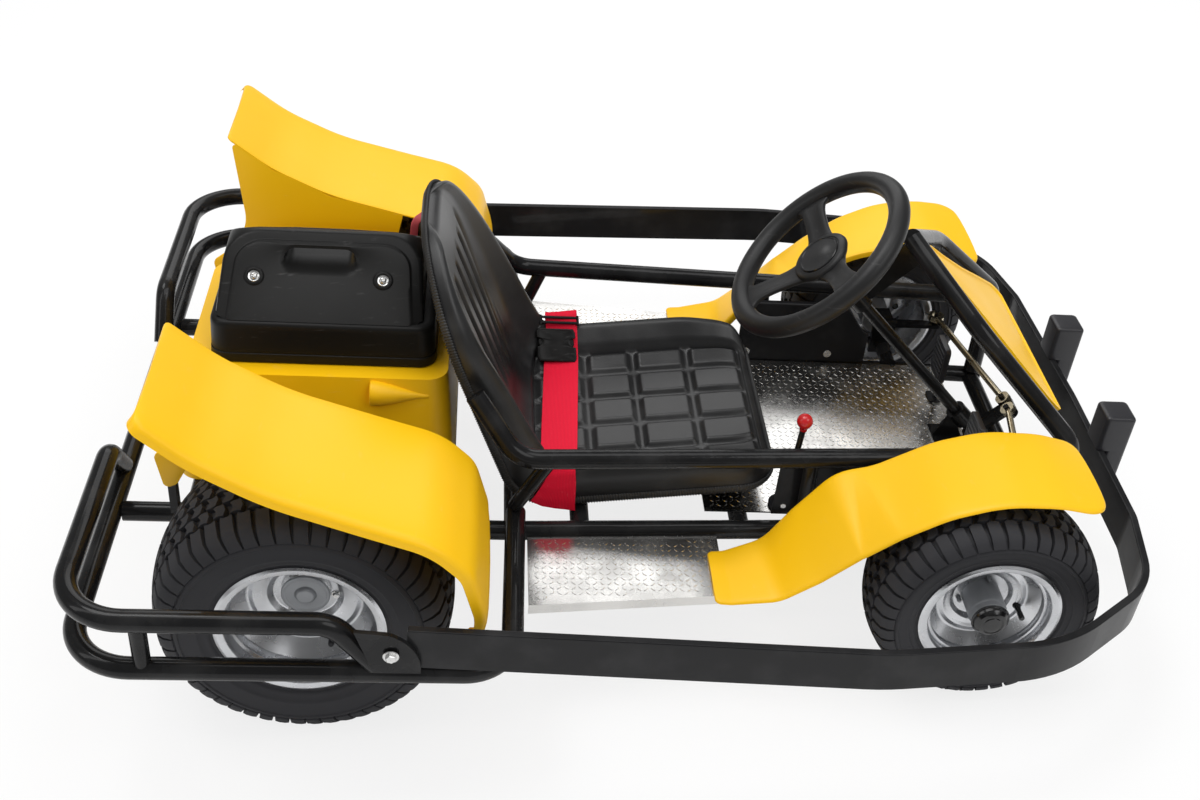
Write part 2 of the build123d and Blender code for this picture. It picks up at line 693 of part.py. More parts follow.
# Rear mudguards: a bent strip that widens forwards, with an inner wall beside the tyre
with BuildPart() as rear_guard:
    faces = [leaning_strip(REAR_GUARD, REAR_GUARD_BENDS, -GUARD_T, REAR_GUARD_X, y)
             for y in (REAR_GUARD_IN_Y, REAR_GUARD_OUT_Y)]
    loft(faces, ruled=True)
    with BuildSketch(leaning_plane(REAR_GUARD_X, REAR_GUARD_IN_Y)):
        with BuildLine():
            Polyline(*REAR_WALL, *[(x, z - GUARD_T / 2) for x, z in REAR_GUARD[3:0:-1]], close=True)
        make_face()
    extrude(amount=-GUARD_T)
keep_pair("rear_mudguard", rear_guard.part)

# Front mudguards: a shelf over the wheel that falls to the step plate
tail_z = STEP_TOP_Z + GUARD_T + 2 * SEAT_GAP
with BuildPart() as front_guard:
    faces = []
    edges = ((FRONT_GUARD_IN, FRONT_GUARD_IN_Y, 1.4), (FRONT_GUARD_OUT, FRONT_GUARD_OUT_Y, 0.4))
    for outline, across, rise in edges:
        route = [(FRONT_TAIL_X, tail_z), (FRONT_TAIL_X + FRONT_TAIL_L, tail_z + rise)]
        for angle, clearance in outline:
            reach = FRONT_WHEEL["radius"] + clearance
            route.append((
                WHEELBASE + reach * cos(radians(angle)),
                FRONT_AXLE_RISE + reach * sin(radians(angle)),
            ))
        faces.append(leaning_strip(route, FRONT_GUARD_BENDS, -GUARD_T, FRONT_GUARD_X, across))
    loft(faces, ruled=True)
keep_pair("front_mudguard", front_guard.part)

# Nose panel, inside the hoop
with BuildPart() as nose_panel:
    foot = Vector(PANEL_FOOT[0], 0, PANEL_FOOT[1])
    rise = Vector(PANEL_TOP[0], 0, PANEL_TOP[1]) - foot
    with BuildSketch(Plane(origin=foot, x_dir=(0, 1, 0), z_dir=Vector(0, 1, 0).cross(rise))):
        with BuildLine():
            flank = [(y, share * rise.length) for share, y in PANEL_OUTLINE]
            Polyline(*flank, *[(-y, up) for y, up in flank[::-1]], close=True)
        make_face()
    extrude(amount=PANEL_T)
keep("nose_panel", nose_panel.part)

# Pedals, each an arm with a pad, standing on the floor plate
with BuildPart() as pedals:
    for y in PEDAL_Y:
        with Locations((PEDAL_X, y, FLOOR_TOP_Z + SEAT_GAP + PEDAL_H / 2)):
            Box(12, 14, PEDAL_H)
        with Locations((PEDAL_X - 6 - PEDAL_PAD[0] / 2 + 1, y, FLOOR_TOP_Z + PEDAL_H - PEDAL_PAD[2] / 2)):
            Box(*PEDAL_PAD)
keep("pedals", pedals.part)

# Hand lever by the right rail, with its knob
with BuildPart() as hand_lever:
    bent_tube([LEVER_FOOT, KNOB_AT], LEVER_R)
keep("hand_lever", hand_lever.part)
with BuildPart() as lever_knob:
    with Locations((KNOB_AT[0], KNOB_AT[1], KNOB_AT[2] + KNOB_R + 1)):
        Sphere(KNOB_R)
keep("lever_knob", lever_knob.part)

# Drive unit: gear housing round the axle and the motor ahead of it, hung from the front body tube
with BuildPart() as drive_unit:
    for x, radius, (start, end) in ((0, GEARBOX_R, GEARBOX_Y), (MOTOR_X, MOTOR_R, MOTOR_Y)):
        with BuildSketch(Plane.XZ.offset(-end)):
            with Locations((x, 0)):
                Circle(radius)
        extrude(amount=end - start)
    with Locations((MOTOR_X / 2, sum(GEARBOX_Y) / 2, 0)):
        Box(MOTOR_X, GEARBOX_Y[1] - GEARBOX_Y[0], 60)
    lug_end = BODY_CROSS_X[1] - TUBE_R - SEAT_GAP
    with Locations(((MOTOR_X + lug_end) / 2, sum(MOTOR_Y) / 2, STUB_RISE)):
        Box(lug_end - MOTOR_X, 60, 16)
    with BuildSketch(Plane.XZ.offset(-GEARBOX_Y[1] - 1)):
        Circle(AXLE_R + AXLE_CLEARANCE)
    extrude(amount=GEARBOX_Y[1] - GEARBOX_Y[0] + 2, mode=Mode.SUBTRACT)
keep("drive_unit", drive_unit.part)


def turned(centre, half_section):
    """Solid of revolution about a wheel's axis, from (y, radius) points given for the left-hand side."""
    with BuildSketch(Plane(origin=centre, x_dir=(0, 1, 0), z_dir=(1, 0, 0))) as section:
        with BuildLine() as outline:
            Polyline(*half_section, close=True)
        make_face(outline.edges())
    revolve(section.sketch, axis=Axis(centre, (0, 1, 0)))


def ring(centre, start, end, inner, outer, mode=Mode.ADD):
    """Plain ring or disc on a wheel's axis, between two distances from the centreline."""
    with BuildSketch(Plane(origin=centre + Vector(0, end, 0), x_dir=(1, 0, 0), z_dir=(0, -1, 0))) as section:
        Circle(outer)
        if inner:
            Circle(inner, mode=Mode.SUBTRACT)
    extrude(section.sketch, amount=end - start, mode=mode)


def tyre(centre, wheel):
    """Solid tyre out to its lugs, seated on the rim's barrel between its flanges."""
    middle = wheel["middle"]
    bead = wheel["rim_width"] / 2 - RIM_STEEL - TYRE_GRIP
    seat_r = wheel["rim"] + TYRE_GRIP
    wall_r = seat_r + RIM_FLANGE + 2
    radius = wheel["radius"]
    bulge = wheel["width"] / 2
    shoulder = bulge - wheel["shoulder"][0]
    shoulder_r = radius - wheel["shoulder"][1]
    with BuildSketch(Plane(origin=centre, x_dir=(0, 1, 0), z_dir=(1, 0, 0))) as section:
        with BuildLine() as outline:
            Line((middle - bead, -wall_r), (middle - bead, -seat_r))
            Line((middle - bead, -seat_r), (middle + bead, -seat_r))
            Line((middle + bead, -seat_r), (middle + bead, -wall_r))
            bulge_r = (wall_r + shoulder_r) / 2
            ThreePointArc((middle + bead, -wall_r), (middle + bulge, -bulge_r), (middle + shoulder, -shoulder_r))
            ThreePointArc((middle + shoulder, -shoulder_r), (middle, -radius), (middle - shoulder, -shoulder_r))
            ThreePointArc((middle - shoulder, -shoulder_r), (middle - bulge, -bulge_r), (middle - bead, -wall_r))
        make_face(outline.edges())
    revolve(section.sketch, axis=Axis(centre, (0, 1, 0)))


def rim(centre, wheel, disc_inset, bore):
    """Steel rim: barrel, two flanges and a stepped dish."""
    middle = wheel["middle"]
    half = wheel["rim_width"] / 2
    radius = wheel["rim"]
    face = middle + half - disc_inset
    ring(centre, middle - half, middle + half, radius - RIM_STEEL, radius)
    ring(centre, middle - half, middle - half + RIM_STEEL, radius - RIM_STEEL, radius + RIM_FLANGE)
    ring(centre, middle + half - RIM_STEEL, middle + half, radius - RIM_STEEL, radius + RIM_FLANGE)
    outer = [(face, bore), *[(face + out, r) for out, r in wheel["dish"]]]
    outer.append((outer[-1][0], radius - 1))
    turned(centre, [*outer, *[(y - DISC_T, r) for y, r in outer[::-1]]])


# Rear axle with a flat hub disc outside each rim and a flange behind it
rear_centre = Vector(0, 0, 0)
rear_face = REAR_WHEEL["middle"] + REAR_WHEEL["rim_width"] / 2 - REAR_DISC_INSET
with BuildPart() as rear_axle:
    ring(rear_centre, -rear_face - HUB_DISC_T, rear_face + HUB_DISC_T, 0, AXLE_R)
    for hand in (1, -1):
        outer = sorted((hand * (rear_face + SEAT_GAP), hand * (rear_face + HUB_DISC_T)))
        inner = sorted((hand * (rear_face - DISC_T - SEAT_GAP), hand * (rear_face - DISC_T - HUB_DISC_T)))
        ring(rear_centre, *outer, 0, HUB_DISC_R)
        ring(rear_centre, *inner, 0, HUB_DISC_R)
    ring(rear_centre, BRAKE_DISC_Y - BRAKE_DISC_T / 2, BRAKE_DISC_Y + BRAKE_DISC_T / 2, 0, BRAKE_DISC_R)
keep("rear_axle", rear_axle.part)

# Wheels
with BuildPart() as rear_rim:
    rim(rear_centre, REAR_WHEEL, REAR_DISC_INSET, AXLE_R + RUNNING_FIT)
keep_pair("rear_rim", rear_rim.part)
with BuildPart() as rear_tyre:
    tyre(rear_centre, REAR_WHEEL)
keep_pair("rear_tyre", rear_tyre.part)
front_face = FRONT_WHEEL["middle"] + FRONT_WHEEL["rim_width"] / 2 - FRONT_DISC_INSET
hub_start = KINGPIN_Y + BARREL_R + 12
with BuildPart() as front_rim:
    rim(front_axle, FRONT_WHEEL, FRONT_DISC_INSET, FRONT_HUB_R - 1)
    ring(front_axle, hub_start, front_face + FRONT_HUB_OUT, STUB_R + RUNNING_FIT, FRONT_HUB_R)
keep_pair("front_rim", front_rim.part)
with BuildPart() as front_tyre:
    tyre(front_axle, FRONT_WHEEL)
keep_pair("front_tyre", front_tyre.part)
with BuildPart() as hub_cap:
    cap_start = front_face + FRONT_HUB_OUT + SEAT_GAP
    ring(front_axle, cap_start, cap_start + CAP_T, 0, CAP_R)
    fillet(hub_cap.edges().group_by(Axis.Y)[-1], CAP_DOME)
keep_pair("hub_cap", hub_cap.part)

# Knuckles: barrel on the kingpin, stub axle, steering arm and its stud
with BuildPart() as knuckle:
    arm_top = FRONT_AXLE_RISE + STEER_ARM_T * 2
    with Locations((WHEELBASE, KINGPIN_Y, FRONT_AXLE_RISE)):
        Cylinder(BARREL_R, BARREL_H)
    ring(front_axle, KINGPIN_Y + KINGPIN_R + 2, front_face + FRONT_HUB_OUT - 2, 0, STUB_R)
    with Locations((WHEELBASE + (STEER_ARM + STEER_ARM_W / 2) / 2, KINGPIN_Y, arm_top - STEER_ARM_T / 2)):
        Box(STEER_ARM + STEER_ARM_W / 2, STEER_ARM_W, STEER_ARM_T)
    with Locations((WHEELBASE + STEER_ARM, KINGPIN_Y, arm_top + STUD_H / 2)):
        Cylinder(STUD_R, STUD_H)
    with Locations((WHEELBASE, KINGPIN_Y, FRONT_AXLE_RISE)):
        Cylinder(KINGPIN_R + RUNNING_FIT, BARREL_H + 2, mode=Mode.SUBTRACT)
keep_pair("knuckle", knuckle.part)

# Steering column with the pitman plate and its two pins
with BuildPart() as column:
    with BuildSketch(column_plane(COLUMN_LENGTH)):
        Circle(COLUMN_R)
    extrude(amount=COLUMN_LENGTH - WHEEL_HUB_T / 2 - SEAT_GAP)
    with BuildSketch(column_plane(COLUMN_LENGTH)):
        Circle(20)
        with Locations((0, -PITMAN_ARM / 2)):
            Rectangle(30, PITMAN_ARM)
        with Locations((0, -PITMAN_ARM)):
            SlotOverall(2 * PITMAN_SPREAD + 26, 24)
    extrude(amount=PITMAN_T)
    with BuildSketch(column_plane(COLUMN_LENGTH)):
        with Locations(*[(hand * PITMAN_SPREAD, -PITMAN_ARM) for hand in (1, -1)]):
            Circle(PITMAN_PIN_R)
    extrude(amount=PITMAN_T + ROD_EYE_T + 6)
keep("steering_column", column.part)

# Steering wheel
with BuildPart() as steering_wheel:
    grip_at = wheel_centre + pitman_reach * GRIP_RING_R
    with BuildSketch(Plane.XZ) as grip:
        with Locations((grip_at.X, grip_at.Z)):
            Circle(GRIP_R)
    revolve(axis=Axis(wheel_centre, column_axis))
    with BuildSketch(column_plane(SPOKE_T / 2)):
        for angle in SPOKES:
            with Locations(Location((0, 0, 0), (0, 0, angle))):
                with Locations((GRIP_RING_R / 2, 0)):
                    Rectangle(GRIP_RING_R - 4, SPOKE_W)
    extrude(amount=SPOKE_T)
    with BuildSketch(column_plane(WHEEL_HUB_T / 2)):
        Circle(WHEEL_HUB_R)
    extrude(amount=WHEEL_HUB_T)
keep("steering_wheel", steering_wheel.part)

# Tie rods from the pitman pins to the studs on the steering arms
stud_top = FRONT_AXLE_RISE + STEER_ARM_T * 2
with BuildPart() as tie_rod:
    pin_plane = column_plane(COLUMN_LENGTH - PITMAN_T - 1)
    with BuildSketch(pin_plane):
        with Locations((PITMAN_SPREAD, -PITMAN_ARM)):
            Circle(ROD_EYE_R)
    extrude(amount=ROD_EYE_T)
    outer_eye = Vector(WHEELBASE + STEER_ARM, KINGPIN_Y, stud_top + ROD_EYE_LIFT + ROD_EYE_T / 2)
    with Locations(outer_eye):
        Cylinder(OUTER_EYE_R, ROD_EYE_T)
    inner_eye = pitman_pin + column_axis * (1 + ROD_EYE_T / 2) + Vector(0, PITMAN_SPREAD, 0)
    bent_tube([inner_eye, outer_eye], ROD_R)
    with BuildSketch(column_plane(COLUMN_LENGTH - PITMAN_T)):
        with Locations((PITMAN_SPREAD, -PITMAN_ARM)):
            Circle(PITMAN_PIN_R + RUNNING_FIT)
    extrude(amount=ROD_EYE_T + 20, both=True, mode=Mode.SUBTRACT)
    with Locations(outer_eye):
        Cylinder(OUTER_EYE_BORE, 4 * ROD_EYE_T, mode=Mode.SUBTRACT)
keep_pair("tie_rod", tie_rod.part)

# Place: nose down by the rake, wheels on the floor, origin under the middle of the outline
os.makedirs("parts", exist_ok=True)
turn = Location((0, 0, 0), (0, RAKE, 0))
boxes = [shape.moved(turn).bounding_box() for shape in parts.values()]
low = [min(getattr(box.min, axis) for box in boxes) for axis in "XYZ"]
high = [max(getattr(box.max, axis) for box in boxes) for axis in "XYZ"]
shift = Vector(-(low[0] + high[0]) / 2, 0, -low[2])
place = Location(shift) * turn
for name, shape in parts.items():
    placed = shape.moved(place)
    placed.label = name
    export_step(placed, f"parts/{name}.step")
    print(name, placed.is_valid, round(placed.volume / 1000), "cm3", len(placed.solids()), "solids")


def placed_point(point):
    """Point of the chassis frame in the frame of the whole, in metres."""
    moved = (place * Location(point)).position
    return [round(value / 1000, 5) for value in moved]


print("shift", shift, "size", [round(b - a, 1) for a, b in zip(low, high)])
print("rear axle", placed_point((0, 0, 0)), "front axle", placed_point(front_axle))
print("kingpin", placed_point((WHEELBASE, KINGPIN_Y, FRONT_AXLE_RISE)), "wheel", placed_point(wheel_centre))
print("pitman pin", placed_point(pitman_pin + Vector(0, PITMAN_SPREAD, 0)))
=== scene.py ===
"""An electric racing kart on turf tyres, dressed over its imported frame."""
import logging
import math
from collections.abc import Callable
from dataclasses import dataclass
from enum import Enum

import bmesh
import bpy
import numpy as np
from mathutils import Matrix, Vector


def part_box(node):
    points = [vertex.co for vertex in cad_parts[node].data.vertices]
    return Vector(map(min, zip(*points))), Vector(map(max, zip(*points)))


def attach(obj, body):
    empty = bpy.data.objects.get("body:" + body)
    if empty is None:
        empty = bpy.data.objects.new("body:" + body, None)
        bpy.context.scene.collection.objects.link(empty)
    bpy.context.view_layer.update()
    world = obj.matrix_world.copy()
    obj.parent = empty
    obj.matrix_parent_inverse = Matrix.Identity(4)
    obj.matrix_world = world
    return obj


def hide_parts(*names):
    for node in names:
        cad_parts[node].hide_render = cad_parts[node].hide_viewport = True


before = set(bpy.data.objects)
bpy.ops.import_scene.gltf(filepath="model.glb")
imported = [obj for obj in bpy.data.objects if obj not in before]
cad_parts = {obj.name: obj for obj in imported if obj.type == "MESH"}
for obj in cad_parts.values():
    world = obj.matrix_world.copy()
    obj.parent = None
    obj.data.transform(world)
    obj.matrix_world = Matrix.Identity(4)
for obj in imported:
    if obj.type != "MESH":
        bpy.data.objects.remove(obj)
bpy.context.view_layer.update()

LOG = logging.getLogger("kart")

# The level chassis is drawn in mm from the rear axle, X forwards and Z up
WHEELBASE = 1056.0
FRONT_AXLE_RISE = 36.0

# Distances in metres below which mesh points are one and an edge has no length
SAME_SPOT = 2e-5
NO_LENGTH = 1e-6

Points = np.ndarray
Colour = tuple[float, float, float, float]
WHITE = (1.0, 1.0, 1.0, 1.0)


class Side(Enum):
    """The driver's left and right, as the sign of Y."""

    LEFT = 1
    RIGHT = -1

    @property
    def word(self) -> str:
        """Name of the side as the nodes and bodies write it."""
        return self.name.lower()


def screen_colour(red: int, green: int, blue: int) -> Colour:
    """Colour written in screen values from 0 to 255, made linear.

    Args:
        red: Share of red as a picture stores it.
        green: Share of green.
        blue: Share of blue.

    Returns:
        The linear colour with full alpha.
    """
    parts = np.array([red, green, blue]) / 255
    linear = np.where(parts <= 0.04045, parts / 12.92, ((parts + 0.055) / 1.055) ** 2.4)
    return (*[float(part) for part in linear], 1.0)


@dataclass(frozen=True)
class Stance:
    """Turn from the level chassis, in mm from the rear axle, to the standing kart in metres."""

    rake: float
    axle: tuple[float, float]

    @classmethod
    def of_frame(cls) -> "Stance":
        """Read the rake and the rear axle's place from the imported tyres' boxes."""
        rear = np.array(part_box("rear_tyre_left")).mean(axis=0)
        front = np.array(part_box("front_tyre_left")).mean(axis=0)
        level = math.atan2(FRONT_AXLE_RISE, WHEELBASE)
        standing = math.atan2(front[2] - rear[2], front[0] - rear[0])
        return cls(level - standing, (float(rear[0]), float(rear[2])))

    def place(self, points: Points) -> Points:
        """Turn chassis points nose-down by the rake and move them to the standing axle.

        Args:
            points: Array of any shape that ends in x, y, z, in mm.

        Returns:
            The same points in metres.
        """
        x, y, z = np.moveaxis(np.asarray(points, float), -1, 0)
        cos, sin = math.cos(self.rake), math.sin(self.rake)
        along = (x * cos + z * sin) / 1000 + self.axle[0]
        height = (z * cos - x * sin) / 1000 + self.axle[1]
        return np.stack((along, y / 1000, height), axis=-1)


STANCE = Stance.of_frame()


def unit(vectors: Points) -> Points:
    """Vectors scaled to a length of one."""
    size = np.linalg.norm(vectors, axis=-1, keepdims=True)
    return vectors / np.maximum(size, 1e-9)


def smooth(values: Points | float) -> Points:
    """Ramp from 0 to 1 that leaves and arrives level: 3t^2 - 2t^3 of the value held between 0 and 1."""
    held = np.clip(values, 0, 1)
    return held * held * (3 - 2 * held)


def bent(points: list, bends: float | tuple, steps: int = 8) -> Points:
    """Polyline whose corners are rounded by arcs tangent to both runs.

    Args:
        points: Corner points, of two or three coordinates.
        bends: One radius for all corners or one for each inner corner.
        steps: Points on each arc, less one.

    Returns:
        The rounded line. An arc turns its start spoke into its end spoke at a steady angle.
    """
    corners = np.array(points, float)
    radii = [bends] * (len(corners) - 2) if np.isscalar(bends) else list(bends)
    line = [corners[:1]]
    share = np.linspace(0, 1, steps + 1)[:, None]
    for before, here, after, radius in zip(corners, corners[1:], corners[2:], radii):
        back, ahead = unit(before - here), unit(after - here)
        half_open = math.acos(float(np.clip(back @ ahead, -1, 1))) / 2
        if half_open > math.pi / 2 - 1e-3 or radius <= 0:
            line.append(here[None])
            continue
        room = 0.49 * min(np.linalg.norm(before - here), np.linalg.norm(after - here))
        run = min(radius / math.tan(half_open), room)
        centre = here + unit(back + ahead) * run / math.cos(half_open)
        start, end = here + back * run - centre, here + ahead * run - centre
        turn = math.pi - 2 * half_open
        arc = (np.sin((1 - share) * turn) * start + np.sin(share * turn) * end) / math.sin(turn)
        line.append(centre + arc)
    line.append(corners[-1:])
    return np.concatenate(line)


def resampled(line: Points, count: int) -> Points:
    """Line cut into equal steps of its own length.

    Args:
        line: Points along the line.
        count: Number of points wanted.

    Returns:
        The evenly spaced points.
    """
    travelled = np.concatenate(([0], np.cumsum(np.linalg.norm(np.diff(line, axis=0), axis=1))))
    at = np.linspace(0, travelled[-1], count)
    return np.stack([np.interp(at, travelled, part) for part in line.T], axis=-1)


def circle(radius: float, count: int = 24) -> Points:
    """Closed round section about the origin."""
    angle = np.linspace(0, 2 * np.pi, count, endpoint=False)
    return radius * np.stack((np.cos(angle), np.sin(angle)), axis=-1)


def rounded_box(width: float, height: float, radius: float, steps: int = 5) -> Points:
    """Closed rectangular section with round corners, anticlockwise about the origin.

    Args:
        width: Extent along the first axis.
        height: Extent along the second axis.
        radius: Radius of the four corners.
        steps: Points on each corner, less one.

    Returns:
        Four quarter arcs, each at its own corner centre, joined by straight runs.
    """
    radius = min(radius, width / 2 - 1e-3, height / 2 - 1e-3)
    angle = (np.arange(4)[:, None] + np.linspace(0, 1, steps + 1)) * np.pi / 2
    signs = np.array([(1, 1), (-1, 1), (-1, -1), (1, -1)])
    centres = signs * (width / 2 - radius, height / 2 - radius)
    arcs = centres[:, None] + radius * np.stack((np.cos(angle), np.sin(angle)), axis=-1)
    return arcs.reshape(-1, 2)


def arc_of_three(first: tuple, middle: tuple, last: tuple, count: int) -> Points:
    """Arc of the circle through three points of a plane, as even steps of its angle.

    Args:
        first: Where the arc starts.
        middle: A point that it passes.
        last: Where it ends.
        count: Number of points.

    Returns:
        Points on the arc.
    """
    a, b, c = (np.array(point, float) for point in (first, middle, last))
    rows = 2 * np.array([b - a, c - a])
    centre = np.linalg.solve(rows, np.array([b @ b - a @ a, c @ c - a @ a]))
    angles = np.unwrap([math.atan2(*(point - centre)[::-1]) for point in (a, b, c)])
    turn = np.linspace(angles[0], angles[2], count)
    return centre + np.linalg.norm(a - centre) * np.stack((np.cos(turn), np.sin(turn)), axis=-1)


def swept(path: Points, section: Points, up: tuple = (0, 0, 1), scale: Points | float = 1.0) -> Points:
    """Section carried along a path.

    The section's first axis lies across the path, square to up, and its second axis is what is left of up
    when the path's own direction is taken out of it.

    Args:
        path: Points of the path.
        section: Closed or open section of two columns.
        up: Direction that is nowhere parallel to the path.
        scale: Size of the section at each point of the path.

    Returns:
        Grid of points, path by section.
    """
    ways = unit(np.gradient(path, axis=0))
    upward = np.array(up, float)
    rise = unit(upward - ways * (ways @ upward)[:, None])
    across = np.cross(rise, ways)
    grown = np.broadcast_to(np.asarray(scale, float), (len(path),))[:, None, None]
    flat = np.asarray(section)[None] * grown
    return path[:, None] + across[:, None] * flat[..., :1] + rise[:, None] * flat[..., 1:]


def turned(profile: Points, centre: tuple, count: int = 96) -> Points:
    """Profile turned about a wheel's axis.

    Args:
        profile: Points (distance along Y, radius), both in mm.
        centre: Point of the axis that the profile's distances start from.
        count: Steps round the axis.

    Returns:
        Grid of points, angle by profile: x = r cos a, z = r sin a.
    """
    angle = np.linspace(0, 2 * np.pi, count, endpoint=False)[:, None]
    reach, radius = np.asarray(profile, float).T
    grid = (radius * np.cos(angle), reach + 0 * angle, radius * np.sin(angle))
    return np.stack(grid, axis=-1) + np.array(centre)


def sheet_loop(line: Points, thickness: float) -> Points:
    """Closed section of a bent sheet: a line of a plane and the same line moved to its left.

    Args:
        line: Open line of two columns.
        thickness: Distance between the two faces, to the left where it is positive.

    Returns:
        The loop, out along the line and back along the moved one.
    """
    ways = unit(np.gradient(np.asarray(line, float), axis=0))
    left = np.stack((-ways[:, 1], ways[:, 0]), axis=-1)
    return np.concatenate((line, (line + left * thickness)[::-1]))


class Shell:
    """Mesh gathered from grids of points, in chassis mm."""

    def __init__(self) -> None:
        """Start empty."""
        self.points: list[Points] = []
        self.faces: list[Points] = []
        self.flow: list[Points] = []
        self.count = 0

    def grid(
        self,
        points: Points,
        round_u: bool = False,
        round_v: bool = True,
        caps: bool = True,
        flow: Points | None = None,
    ) -> "Shell":
        """Add a grid of quads.

        Each quad joins a point to its neighbours in both directions. A cap closes the loop at each end of
        the first direction with one face.

        Args:
            points: Array of shape (u, v, 3).
            round_u: Whether the last row joins the first.
            round_v: Whether the last column joins the first.
            caps: Whether the two end loops are closed.
            flow: Distance along and across the piece in mm, for a pattern that follows it.

        Returns:
            This shell.
        """
        rows, columns = points.shape[:2]
        index = np.arange(rows * columns).reshape(rows, columns) + self.count
        wrapped = np.concatenate((index, index[:1])) if round_u else index
        wrapped = np.concatenate((wrapped, wrapped[:, :1]), axis=1) if round_v else wrapped
        corners = (wrapped[:-1, :-1], wrapped[1:, :-1], wrapped[1:, 1:], wrapped[:-1, 1:])
        self.faces.append(np.stack(corners, axis=-1).reshape(-1, 4))
        if caps and round_v and not round_u:
            self.faces.append(index[:1])
            self.faces.append(index[-1:, ::-1])
        self.points.append(points.reshape(-1, 3))
        laid = np.zeros((rows * columns, 3)) if flow is None else np.asarray(flow).reshape(-1, 3)
        self.flow.append(laid)
        self.count += rows * columns
        return self

    def join(self, other: "Shell") -> "Shell":
        """Add another shell's shapes to this one."""
        self.points += other.points
        self.faces += [faces + self.count for faces in other.faces]
        self.flow += other.flow
        self.count += other.count
        return self

    def mirror(self) -> "Shell":
        """Add the same shapes on the other side of the centreline."""
        twin = Shell()
        twin.points = [points * (1, -1, 1) for points in self.points]
        twin.faces = [faces[:, ::-1] + self.count for faces in self.faces]
        self.points += twin.points
        self.faces += twin.faces
        self.flow += self.flow
        self.count *= 2
        return self

    def sided(self, side: Side) -> "Shell":
        """This shell, drawn for the left, on the side asked for."""
        if side is Side.RIGHT:
            self.points = [points * (1, -1, 1) for points in self.points]
            self.faces = [faces[:, ::-1] for faces in self.faces]
        return self

    def build(self, name: str, angle: float = 34.0, merge: bool = True) -> bpy.types.Object:
        """Make the mesh object in the standing frame, with outward faces and crisp edges.

        Args:
            name: Name of the object.
            angle: Angle between faces, in degrees, above which an edge is drawn sharp.
            merge: Whether doubled points are merged and the faces turned outwards.

        Returns:
            The linked object, at the origin, unturned and unscaled.
        """
        mesh = bpy.data.meshes.new(name)
        spots = STANCE.place(np.concatenate(self.points)).astype(np.float32)
        sizes = np.concatenate([np.full(len(faces), faces.shape[1]) for faces in self.faces])
        loops = np.concatenate([faces.ravel() for faces in self.faces]).astype(np.int32)
        starts = np.concatenate(([0], np.cumsum(sizes)[:-1])).astype(np.int32)
        mesh.vertices.add(len(spots))
        mesh.vertices.foreach_set("co", spots.ravel())
        mesh.loops.add(len(loops))
        mesh.loops.foreach_set("vertex_index", loops)
        mesh.polygons.add(len(sizes))
        mesh.polygons.foreach_set("loop_start", starts)
        laid = np.concatenate(self.flow).astype(np.float32)
        if laid.any():
            lane = mesh.attributes.new("flow", "FLOAT_VECTOR", "POINT")
            lane.data.foreach_set("vector", laid.ravel())
        mesh.update(calc_edges=True)
        mesh.validate()
        if merge:
            work = bmesh.new()
            work.from_mesh(mesh)
            bmesh.ops.remove_doubles(work, verts=work.verts, dist=SAME_SPOT)
            bmesh.ops.dissolve_degenerate(work, edges=work.edges, dist=NO_LENGTH)
            bmesh.ops.recalc_face_normals(work, faces=work.faces)
            work.to_mesh(mesh)
            work.free()
        mesh.polygons.foreach_set("use_smooth", np.ones(len(mesh.polygons), bool))
        mesh.set_sharp_from_angle(angle=math.radians(angle))
        mesh.update()
        piece = bpy.data.objects.new(name, mesh)
        bpy.context.scene.collection.objects.link(piece)
        return piece


class Wire:
    """Value that runs through a material, with Python's operators written as Math nodes."""

    def __init__(self, graph: "Graph", socket: bpy.types.NodeSocket) -> None:
        """Keep the graph and the output socket."""
        self.graph = graph
        self.socket = socket

    def __add__(self, other: "Wire | float") -> "Wire":
        """Sum."""
        return self.graph.maths("ADD", self, other)

    __radd__ = __add__

    def __sub__(self, other: "Wire | float") -> "Wire":
        """Difference."""
        return self.graph.maths("SUBTRACT", self, other)

    def __rsub__(self, other: "Wire | float") -> "Wire":
        """Difference the other way round."""
        return self.graph.maths("SUBTRACT", other, self)

    def __mul__(self, other: "Wire | float") -> "Wire":
        """Product."""
        return self.graph.maths("MULTIPLY", self, other)

    __rmul__ = __mul__


